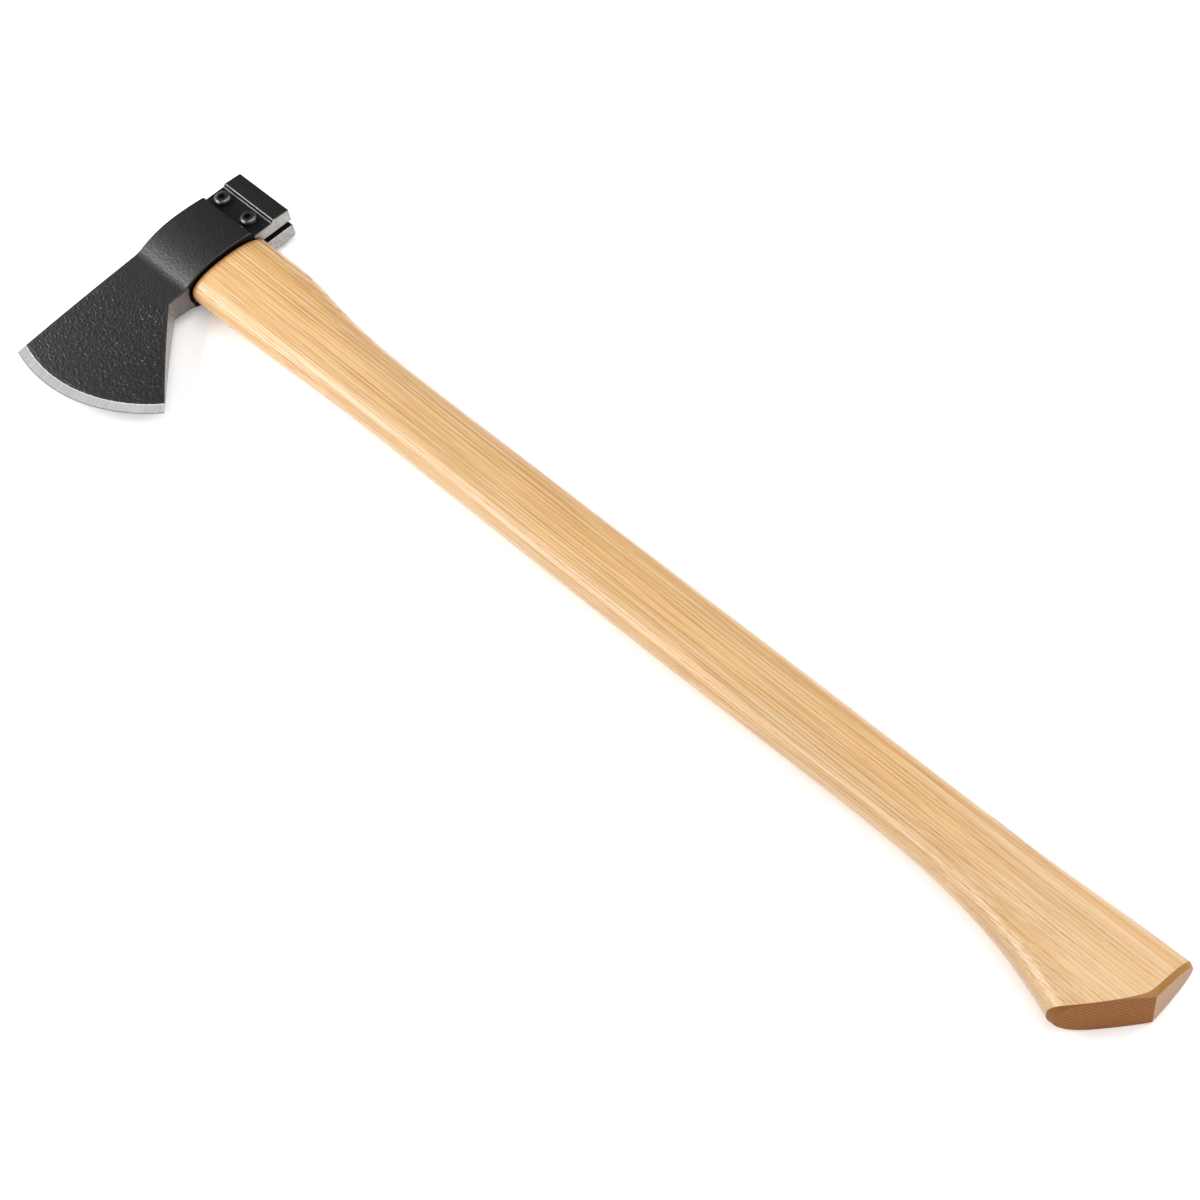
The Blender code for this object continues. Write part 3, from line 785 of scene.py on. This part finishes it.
def straight_rows():
    """Rows from the poll to the beard: block, step, channel, cheek, and a soft kink to the bit."""
    path = [(POLL_ROUND, STRIKING_FACE_HALF, STRIKING_FACE_HALF)]
    soft = [0.0]
    for y, half in (
        (BLOCK_LENGTH, BLOCK_STEP_HALF),
        (BLOCK_LENGTH + STEP_RUN, CHANNEL_HALF),
        (CHANNEL_FRONT, CHANNEL_HALF),
    ):
        path.append((y, half, half))
        soft.append(STEP_SOFTNESS)
    kink = CHEEK_FRONT - KINK_SOFTNESS
    for t in shares(CHEEK_ROWS):
        y = mix(CHEEK_REAR, kink, t)
        top = cheek_half(y, CROWN_HALF_TOP, CHEEK_FRONT_HALF_TOP)
        bottom = cheek_half(y, CROWN_HALF_BOTTOM, CHEEK_FRONT_HALF_BOTTOM)
        path.append((y, top, bottom))
        soft.append(STEP_SOFTNESS if t == 0.0 else 0.0)
    rows = rounded(path, soft)
    corner = (CHEEK_FRONT, CHEEK_FRONT_HALF_TOP, CHEEK_FRONT_HALF_BOTTOM)
    beard = (BEARD, BEARD_HALF_TOP, BEARD_HALF_BOTTOM)
    share = KINK_SOFTNESS / (BEARD - CHEEK_FRONT)
    after = tuple(mix(p, q, share) for p, q in zip(corner, beard))
    start = rows[-1]
    rows += [bezier(start, corner, after, t) for t in shares(KINK_ROWS)[1:]]
    for t in shares(FLAT_ROWS)[1:-1]:
        rows.append(tuple(mix(p, q, t) for p, q in zip(after, beard)))
    return poll_rows()[:-1] + [(y, top, bottom, 0.0) for y, top, bottom in rows]


def head_ring(plan, halves):
    """Closed ring over a row of plan points, its outer edges rounded."""
    last = len(plan) - 1
    upper = []
    for i, ((x, y), half) in enumerate(zip(plan, halves)):
        if i not in (0, last):
            upper.append((x, y, half))
            continue
        other = plan[1] if i == 0 else plan[last - 1]
        run = math.hypot(other[0] - x, other[1] - y)
        round_in = min(EDGE_ROUND, 0.5 * half)
        wrap = COAT_WRAP if -y > CHEEK_REAR else 0.05 * MM
        corner = [(x, y, half - round_in - min(wrap, 0.3 * half))]
        for angle in quarter_turn(CORNER_STEPS):
            share = min(round_in * (1.0 - math.cos(angle)) / run, 0.9)
            corner.append((
                mix(x, other[0], share), mix(y, other[1], share),
                half - round_in * (1.0 - math.sin(angle)),
            ))
        upper += corner if i == 0 else corner[::-1]
    return upper + [(x, y, -z) for x, y, z in reversed(upper)]


def flank_crossing(radius):
    """Where the flank, from the beard's corner to the heel, meets an arc of the edge."""
    heel_y = EDGE_CENTRE_Y - math.sqrt(EDGE_RADIUS ** 2 - (HEEL_X - EDGE_CENTRE_X) ** 2)
    dx = HEEL_X
    dy = heel_y + BEARD
    cx = -EDGE_CENTRE_X
    cy = -BEARD - EDGE_CENTRE_Y
    a = dx * dx + dy * dy
    b = 2.0 * (cx * dx + cy * dy)
    c = cx * cx + cy * cy - radius * radius
    t = (-b + math.sqrt(b * b - 4.0 * a * c)) / (2.0 * a)
    return dx * t, -BEARD + dy * t


def arc_row(radius):
    """Plan points on an arc about the edge's centre, from the head's top to the flank."""
    start_y = EDGE_CENTRE_Y - math.sqrt(radius ** 2 - (HEAD_TOP_X - EDGE_CENTRE_X) ** 2)
    start = math.atan2(start_y - EDGE_CENTRE_Y, HEAD_TOP_X - EDGE_CENTRE_X)
    heel_x, heel_y = flank_crossing(radius)
    end = math.atan2(heel_y - EDGE_CENTRE_Y, heel_x - EDGE_CENTRE_X)
    row = []
    for t in shares(ACROSS_HEAD):
        angle = mix(start, end, t)
        x = EDGE_CENTRE_X + radius * math.cos(angle)
        row.append((x, EDGE_CENTRE_Y + radius * math.sin(angle)))
    return row


def head_rings():
    """Rings of the forging, from the striking face to the cutting edge."""
    rings = []
    for y, top, bottom, inset in straight_rows():
        plan = [(mix(HEAD_TOP_X + inset, -inset, t), -y) for t in shares(ACROSS_HEAD)]
        rings.append(head_ring(plan, [mix(top, bottom, t) for t in shares(ACROSS_HEAD)]))
    beard_row = [(mix(HEAD_TOP_X, 0.0, t), -BEARD) for t in shares(ACROSS_HEAD)]
    bevel_row = arc_row(EDGE_RADIUS - BEVEL_WIDTH)
    for v in shares(FAN_ROWS):
        plan = []
        halves = []
        for t, a, b in zip(shares(ACROSS_HEAD), beard_row, bevel_row):
            hollow = FLANK_HOLLOW * math.sin(math.pi * v) * t
            plan.append((mix(a[0], b[0], v) - hollow, mix(a[1], b[1], v)))
            belly = v * (1.0 - BIT_BELLY * (1.0 - v))
            halves.append(mix(mix(BEARD_HALF_TOP, BEARD_HALF_BOTTOM, t), BEVEL_HALF, belly))
        rings.append(head_ring(plan, halves))
    for v in shares(BEVEL_ROWS)[1:]:
        row = arc_row(EDGE_RADIUS - BEVEL_WIDTH * (1.0 - v))
        rings.append(head_ring(row, [mix(BEVEL_HALF, EDGE_HALF, v)] * len(row)))
    return rings


def oval(x, centre, front, rear, half, angles, front_power=FRONT_POWER):
    """Ring in a plane of constant X: a full front end and a slimmer rear end."""
    ring = []
    for angle in angles:
        c = math.cos(angle)
        s = math.sin(angle)
        power = 2.0 / (front_power if c < 0.0 else REAR_POWER)
        reach = front if c < 0.0 else rear
        y = math.copysign(abs(c) ** power, c) * reach - centre
        ring.append((x, y, math.copysign(abs(s) ** power, s) * half))
    return ring


def even_angles(count):
    """Angles evenly round a full turn."""
    return [2.0 * math.pi * k / count for k in range(count)]


def polar(axis, radius, angle, z):
    """Point at a radius and an angle about a vertical axis."""
    return axis.x + radius * math.cos(angle), axis.y + radius * math.sin(angle), z


def circle(axis, radius, z, count):
    """Level circle about a vertical axis, or the corners of a regular polygon."""
    return [polar(axis, radius, angle, z) for angle in even_angles(count)]


def eye_ring(x, grow, angles):
    """Ring of the eye at x, a distance grow outside the haft's tongue."""
    front, rear, half = (reach + grow for reach in (TONGUE_FRONT, TONGUE_REAR, TONGUE_HALF))
    return oval(x, EYE_CENTRE, front, rear, half, angles)


def solid(name, rings, material, shift=ORIGIN):
    """Closed loft with a face on each end."""
    around = len(rings[0])
    faces = loft_faces(len(rings), around)
    faces.append(tuple(range(around))[::-1])
    faces.append(tuple(range((len(rings) - 1) * around, len(rings) * around)))
    return outward(mesh_object(name, rings, faces, material, shift))


def eye_cutter(material):
    """Through hole for the tongue, its mouths opened by rounded flares."""
    angles = even_angles(HAFT_SIDES)
    rings = [eye_ring(HEAD_TOP_X - OVERRUN, EYE_CLEARANCE + TOP_FLARE, angles)]
    rings.append(eye_ring(HEAD_TOP_X, EYE_CLEARANCE + TOP_FLARE, angles))
    rings.append(eye_ring(HEAD_TOP_X + TOP_FLARE, EYE_CLEARANCE, angles))
    for t in shares(CORNER_STEPS):
        grow = EYE_CLEARANCE + MOUTH_FLARE * t ** 1.6
        rings.append(eye_ring(-MOUTH_DEPTH * (1.0 - t), grow, angles))
    rings.append(eye_ring(OVERRUN, EYE_CLEARANCE + MOUTH_FLARE, angles))
    return solid("eye_cutter", rings, material)


def slit_cutters(black, bare):
    """The slit, and wedges that chamfer its edges on the three faces it opens on."""
    front = -(EYE_CENTRE - TONGUE_REAR + OVERRUN)
    low_x = HEAD_TOP_X - OVERRUN
    wide = SLIT_HALF + SLIT_CHAMFER + OVERRUN

    def wedge(inner, outer, outer_half):
        """Profile from the slit's own width at one end to a half width at the other."""
        return [(inner, -SLIT_HALF), (outer, -outer_half), (outer, outer_half), (inner, SLIT_HALF)]

    def along_y(name, profile, material):
        """Prism of an (x, z) profile from inside the eye to behind the poll."""
        return solid(name, [[(x, y, z) for x, z in profile] for y in (front, OVERRUN)], material)

    cutters = [along_y("slit_cutter", wedge(low_x, OVERRUN, SLIT_HALF), black)]
    for name, face_x, away in (("lower", 0.0, 1.0), ("upper", HEAD_TOP_X, -1.0)):
        profile = wedge(face_x - away * SLIT_CHAMFER, face_x + away * OVERRUN, wide)
        cutters.append(along_y(name + "_slit_chamfer", profile, bare))
    profile = wedge(-SLIT_CHAMFER, OVERRUN, wide)
    ends = [[(x, y, z) for y, z in profile] for x in (low_x, OVERRUN)]
    cutters.append(solid("poll_slit_chamfer", ends, bare))
    return cutters


def hole_cutters(material):
    """Clearance holes on the screws' own axes."""
    cutters = []
    for label in ("upper", "lower"):
        centre = screw_axis(label) - ORIGIN
        reach = 2.0 * CHANNEL_HALF
        rings = [circle(centre, HOLE_RADIUS, z, ROUND_SIDES) for z in (-reach, reach)]
        cutters.append(solid("hole_cutter_" + label, rings, material))
    return cutters


def cut_all(obj, cutters):
    """Subtract every cutter at once, the cut faces taking the cutter's material."""
    group = bpy.data.collections.new("cutters")
    for cutter in cutters:
        bpy.context.scene.collection.objects.unlink(cutter)
        group.objects.link(cutter)
    modifier = obj.modifiers.new("cut", "BOOLEAN")
    modifier.operand_type = "COLLECTION"
    modifier.collection = group
    modifier.solver = "MANIFOLD"
    modifier.material_mode = "TRANSFER"
    shape = obj.evaluated_get(bpy.context.evaluated_depsgraph_get())
    mesh = bpy.data.meshes.new_from_object(shape)
    obj.modifiers.clear()
    old = obj.data
    obj.data = mesh
    bpy.data.meshes.remove(old)
    for cutter in cutters:
        bpy.data.objects.remove(cutter)
    bpy.data.collections.remove(group)


def screw_axis(label):
    """Centre of one clamp screw, on its axis."""
    low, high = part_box("clamp_screw_" + label)
    return (low + high) / 2.0


def fade(distance):
    """Share of full relief at a distance inside an edge."""
    return clamp(distance / PEBBLE_FADE)


def pebble(obj, coat_index):
    """Raise the forge skin's pebbles on the coated cheeks, strongest on the bit."""
    mesh = obj.data
    on_coat = set()
    off_coat = set()
    for polygon in mesh.polygons:
        coated = polygon.material_index == coat_index and abs(polygon.normal.z) > 0.7
        (on_coat if coated else off_coat).update(polygon.vertices)
    for index in on_coat - off_coat:
        vertex = mesh.vertices[index]
        local = vertex.co - ORIGIN
        if -local.y < CHEEK_REAR + PEBBLE_FADE:
            continue
        on_bit = clamp((-local.y - PEBBLE_START) / (PEBBLE_FULL - PEBBLE_START))
        radius = math.hypot(local.x - EDGE_CENTRE_X, local.y - EDGE_CENTRE_Y)
        inside = fade(EDGE_RADIUS - BEVEL_WIDTH - radius) * fade(local.x - HEAD_TOP_X)
        at = vertex.co / PEBBLE_SIZE
        lump = 1.5 * abs(noise.noise(at)) + 0.5 * noise.noise(at * 2.2) - 0.3
        share = mix(PEBBLE_ON_EYE, 1.0, on_bit) * inside
        vertex.co.z += math.copysign(lump * PEBBLE_HEIGHT * share, local.z)


def make_head(coat, bare, black):
    """The forging, coated on its cheeks and bare on its machined faces."""
    rings = head_rings()
    around = len(rings[0])
    faces = loft_faces(len(rings), around)
    faces += strip_cap(0, around)
    faces += strip_cap((len(rings) - 1) * around, around)
    head = mesh_object("head_forging", rings, faces, coat)
    head.data.materials.append(bare)
    head.data.materials.append(black)
    for row in range(len(rings) - 1):
        behind = -rings[row][0][1]
        by_eye = EYE_WALL_REAR < behind < EYE_WALL_FRONT
        for column in (around // 2 - 1, around - 1):
            head.data.polygons[row * around + column].material_index = 2 if by_eye else 1
    outward(head)
    cut_all(head, [eye_cutter(black)] + slit_cutters(black, bare) + hole_cutters(black))
    pebble(head, [material.name for material in head.data.materials].index(coat.name))
    keep_in_box(head, "axe_head")
    smooth(head)
    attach(head, "axe_body")
    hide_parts("axe_head")


# Haft -------------------------------------


def haft_ring(x, inset, angles):
    """Ring of the haft's outer surface at x, drawn in by inset."""
    front_y = through(HAFT_FRONT, x)
    rear_y = through(HAFT_REAR, x)
    half = through(HAFT_HALF, x) - inset
    centre = mix(front_y, rear_y, OVAL_MEETING)
    swell = clamp((x - BUTT_SWELL_X) / (BUTT_X - BUTT_SWELL_X))
    power = mix(FRONT_POWER, BUTT_FRONT_POWER, swell)
    return oval(
        x, centre, front_y - centre - inset, centre - rear_y - inset, half, angles, power
    )


def chamfer_depth(width):
    """How far a chamfer of one width along the haft cuts in."""
    return min(CHAMFER_SLOPE * width, CHAMFER_DEPTH)


def ridge_angles():
    """Angles round the haft with a pair that lands on the butt's ridge."""
    angles = even_angles(HAFT_SIDES)
    low, high = math.pi / 4.0, 3.0 * math.pi / 4.0
    inset = chamfer_depth(through(CHAMFER_ALONG, 0.0))
    for _ in range(40):
        middle = (low + high) / 2.0
        if haft_ring(BUTT_X, inset, [middle])[0][1] > -BUTT_RIDGE:
            low = middle
        else:
            high = middle
    nearest = min(range(HAFT_SIDES // 2), key=lambda k: abs(angles[k] - middle))
    angles[nearest] = middle
    angles[HAFT_SIDES - nearest] = 2.0 * math.pi - middle
    return angles


def butt_x(angle, inset, softness=0.0):
    """Where the haft's surface along one angle meets the two-faced butt."""
    x = BUTT_X
    for _ in range(12):
        y = haft_ring(x, inset, [angle])[0][1]
        cut = math.tan(BUTT_SLANT) * (-y - BUTT_RIDGE)
        x = BUTT_X - (cut + math.hypot(cut, softness)) / 2.0
    return x


def grip_end_rings(angles, starts):
    """Rings from the grip's end to where the butt's chamfer starts."""
    count = round((BUTT_X - BUTT_BLEND_X) / HAFT_SPACING)
    rings = []
    for t in shares(count)[1:]:
        rings.append([
            haft_ring(mix(BUTT_BLEND_X, start, t), 0.0, [angle])[0]
            for angle, start in zip(angles, starts)
        ])
    return rings


def chamfer_rings(angles, starts, widths):
    """Rings over the chamfer, its two edges slightly rounded, to the butt's faces."""
    corners = [(-1.0, 0.0), (0.0, 0.0), (1.0, 1.0), (1.0, 2.0)]
    path = [place for place in rounded(corners, [0.0, 0.18, 0.18, 0.0]) if 0.0 < place[0]]
    rings = []
    for along, inward in path[:-1]:
        ring = []
        for angle, start, width in zip(angles, starts, widths):
            depth = chamfer_depth(width)
            inset = min(inward, 1.0) * depth
            x = mix(start, butt_x(angle, depth), min(along, 1.0))
            ring.append(haft_ring(min(x, butt_x(angle, inset)), inset, [angle])[0])
        rings.append(ring)
    return rings


def make_haft(material, end_material):
    """Hickory haft: tongue, shoulder, grip and a butt cut to a ridge."""
    angles = ridge_angles()
    lead = 1.0 * MM
    rings = [
        eye_ring(HEAD_TOP_X, -lead, angles),
        eye_ring(HEAD_TOP_X + lead, 0.0, angles),
        eye_ring(SHOULDER_GAP, 0.0, angles),
    ]
    for turn in quarter_turn(2 * CORNER_STEPS):
        x = SHOULDER_GAP + SHOULDER_ROUND * (1.0 - math.cos(turn))
        rings.append(haft_ring(x, SHOULDER_ROUND * (1.0 - math.sin(turn)), angles))
    start = SHOULDER_GAP + SHOULDER_ROUND
    count = round((BUTT_BLEND_X - start) / HAFT_SPACING)
    for t in shares(count)[1:]:
        rings.append(haft_ring(mix(start, BUTT_BLEND_X, t), 0.0, angles))
    widths = []
    for angle in angles:
        y = haft_ring(butt_x(angle, 0.0), 0.0, [angle])[0][1]
        widths.append(through(CHAMFER_ALONG, -y - BUTT_RIDGE))
    starts = [
        butt_x(angle, 0.0, RIDGE_SOFTNESS) - width for angle, width in zip(angles, widths)
    ]
    rings += grip_end_rings(angles, starts)
    around = len(angles)
    first_chamfer_face = (len(rings) - 1) * around
    rings += chamfer_rings(angles, starts, widths)
    faces = loft_faces(len(rings), around)
    for first in (0, (len(rings) - 1) * around):
        for i in range(around // 2):
            a, b = first + i, first + i + 1
            c, d = first + (around - i - 1) % around, first + (around - i) % around
            faces.append(tuple(dict.fromkeys((a, b, c, d))))
    haft = outward(mesh_object("haft_hickory", rings, faces, material))
    haft.data.materials.append(end_material)
    for polygon in haft.data.polygons:
        if polygon.index >= first_chamfer_face:
            polygon.material_index = 1
    keep_in_box(haft, "haft")
    smooth(haft)
    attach(haft, "axe_body")
    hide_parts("haft")


# Clamp screws and nuts --------------------


def thread_radius(angle, z):
    """Radius of a right-handed V thread at an angle and a height in the row frame."""
    phase = (z / THREAD_PITCH - angle / (2.0 * math.pi)) % 1.0
    ridge = 1.0 - abs(2.0 * phase - 1.0)
    return mix(THREAD_ROOT, THREAD_CREST, clamp((ridge - 0.1) / 0.8))


def screw_rows(top, tip):
    """Rows (height, radius, threaded share) of a screw, from its crown down to its tip."""
    under = top - SCREW_HEAD_HEIGHT
    rows = [(top, CROWN_RADIUS * 0.2, 0.0), (top, CROWN_RADIUS * 0.9, 0.0)]
    for angle in quarter_turn(3 * CORNER_STEPS):
        radius = mix(CROWN_RADIUS, SCREW_HEAD_RADIUS, math.sin(angle))
        rows.append((mix(under + SCREW_RIM, top, math.cos(angle)), radius, 0.0))
    rows.append((under + RIM_BREAK, SCREW_HEAD_RADIUS, 0.0))
    rows.append((under, SCREW_HEAD_RADIUS - RIM_BREAK, 0.0))
    rows.append((under, THREAD_CREST + 0.1 * MM, 0.0))
    rows.append((under - 0.1 * MM, THREAD_CREST, 0.0))
    start = under - 1.0 * MM
    count = round((start - tip) / THREAD_PITCH * ROWS_PER_THREAD)
    for k in range(count + 1):
        z = mix(start, tip, k / count)
        rows.append((z, THREAD_CREST, min(1.0, k / ROWS_PER_THREAD)))
    return rows


def screw_rings(rows, axis, tip):
    """Rings of a threaded turning about a vertical axis, its tip tapered."""
    taper = (THREAD_CREST - THREAD_ROOT) / TIP_TAPER
    rings = []
    for z, radius, threaded in rows:
        limit = 0.93 * THREAD_ROOT + max(z - tip, 0.0) * taper
        ring = []
        for angle in even_angles(ROUND_SIDES):
            r = radius
            if threaded:
                r = min(mix(radius, thread_radius(angle, z), threaded), limit)
            ring.append(polar(axis, r, angle, z))
        rings.append(ring)
    return rings


def socket_cutters(axis, top, dark):
    """Hexagon socket of a screw, the drill's cone at its floor, and its chamfered mouth."""
    bottom = top - SOCKET_DEPTH
    lift = 1.0 * MM
    rim = SOCKET_CHAMFER
    corner = SOCKET_FLATS / math.sqrt(3.0)
    shapes = {
        "socket": (6, [(bottom, corner), (top + lift, corner)]),
        "drill": (24, [(bottom - DRILL_CONE, 0.05 * MM), (bottom + 0.05 * MM, DRILL_RADIUS)]),
        "mouth": (48, [(top - rim, corner - rim), (top + lift, corner + lift)]),
    }
    cutters = []
    for name, (sides, ends) in shapes.items():
        rings = [circle(axis, radius, z, sides) for z, radius in ends]
        cutters.append(solid(name, rings, dark, IN_ROW_FRAME))
    return cutters


def make_screw(label, material, dark):
    """One button-head screw with a drilled hexagon socket and a real thread."""
    node_name = "clamp_screw_" + label
    low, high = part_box(node_name)
    axis = screw_axis(label)
    rings = screw_rings(screw_rows(high.z, low.z), axis, low.z)
    screw = solid(node_name + "_turned", rings, material, IN_ROW_FRAME)
    cut_all(screw, socket_cutters(axis, high.z, dark))
    keep_in_box(screw, node_name)
    smooth(screw)
    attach(screw, "screw_" + label)
    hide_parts(node_name)


def nut_outside(axis, low, high):
    """Rings of a nut's hexagon from its lower face up, its corners chamfered by cones."""
    flat = NUT_FLATS / 2.0
    corner = flat / math.cos(math.pi / 6.0)
    ease = 0.12 * MM
    limits = [(0.0, 0.97 * flat), (ease, flat), (NUT_CHAMFER, corner)]
    rows = [(low + up, limit) for up, limit in limits]
    rows += [(high - down, limit) for down, limit in reversed(limits)]
    rings = []
    for z, limit in rows:
        ring = []
        for angle in even_angles(NUT_SIDES):
            side = flat / math.cos((angle % (math.pi / 3.0)) - math.pi / 6.0)
            ring.append(polar(axis, min(side, limit), angle, z))
        rings.append(ring)
    return rings


def nut_bore(axis, low, high):
    """Rings of a nut's threaded bore from its upper face down, countersunk at both ends."""
    count = round((high - low) / THREAD_PITCH * ROWS_PER_THREAD)
    rings = []
    for t in shares(count):
        z = mix(high, low, t)
        mouth = max(0.0, 0.35 * MM - min(z - low, high - z))
        ring = []
        for angle in even_angles(NUT_SIDES):
            r = max(thread_radius(angle, z), THREAD_ROOT + 2.0 * mouth) + THREAD_CLEARANCE
            ring.append(polar(axis, r, angle, z))
        rings.append(ring)
    return rings


def make_nut(label, material):
    """One hexagon nut, chamfered on both ends and threaded to match its screw."""
    node_name = "clamp_nut_" + label
    low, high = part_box(node_name)
    axis = screw_axis(label)
    rings = nut_outside(axis, low.z, high.z) + nut_bore(axis, low.z, high.z)
    faces = loft_faces(len(rings), NUT_SIDES)
    last = (len(rings) - 1) * NUT_SIDES
    for i in range(NUT_SIDES):
        j = (i + 1) % NUT_SIDES
        faces.append((last + i, last + j, j, i))
    nut = outward(mesh_object(node_name + "_threaded", rings, faces, material, IN_ROW_FRAME))
    keep_in_box(nut, node_name)
    smooth(nut)
    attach(nut, "nut_" + label)
    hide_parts(node_name)


# Stage ------------------------------------


def make_floor():
    """Plain pale floor that the axe lies on."""
    material, tree, shader, coords = new_material("pale_floor")
    feed(tree, shader, {
        "Base Color": blend(tree, noise_node(tree, coords, 6.0), *FLOOR_TONES),
        "Roughness": 0.9,
        "Specular IOR Level": 0.1,
        "Emission Color": WHITE,
        "Emission Strength": FLOOR_GLOW,
    })
    signs = ((-1, -1), (1, -1), (1, 1), (-1, 1))
    corners = [(FLOOR_SIZE * x, FLOOR_SIZE * y, 0.0) for x, y in signs]
    ground = Vector((0.0, 0.0, cad_box[0].z))
    floor = mesh_object("floor", [corners], [(0, 1, 2, 3)], material, ground)


def softbox(name, toward, distance, width, height, radiance):
    """Rectangular soft light in a direction from the axe's middle, facing it."""
    middle = (cad_box[0] + cad_box[1]) / 2.0
    direction = Vector(toward).normalized()
    data = bpy.data.lights.new(name, "AREA")
    data.shape = "RECTANGLE"
    data.size = width
    data.size_y = height
    data.energy = radiance * math.pi * width * height
    light = add_object(name, data)
    light.location = middle + direction * distance
    light.rotation_mode = "QUATERNION"
    light.rotation_quaternion = direction.to_track_quat("Z", "Y")


def make_world():
    """Dim even surround, so that the softboxes shape the gloss."""
    world = bpy.data.worlds.new("studio")
    bpy.context.scene.world = world
    world.use_nodes = True
    background = world.node_tree.nodes["Background"]
    background.inputs["Color"].default_value = WHITE
    background.inputs["Strength"].default_value = SURROUND


def make_camera():
    """Camera at the view's own angle, looking down on the axe's left cheek."""
    data = bpy.data.cameras.new("camera")
    data.lens = CAMERA_LENS
    data.sensor_width = CAMERA_SENSOR
    data.dof.use_dof = False
    camera = add_object("camera", data)
    camera.location = CAMERA_AT
    camera.rotation_euler = [math.radians(angle) for angle in CAMERA_TURN]
    bpy.context.scene.camera = camera


def main():
    """Camera, light and floor, then the axe's six pieces."""
    make_camera()
    make_world()
    make_floor()
    for settings in SOFTBOXES:
        softbox(*settings)
    bpy.context.scene.view_settings.view_transform = "Standard"

    oxide = black_oxide()
    black = eye_black()
    make_head(coated_steel(), bare_steel(), black)
    make_haft(hickory(), end_grain())
    for label in ("upper", "lower"):
        make_screw(label, oxide, black)
        make_nut(label, oxide)


main()
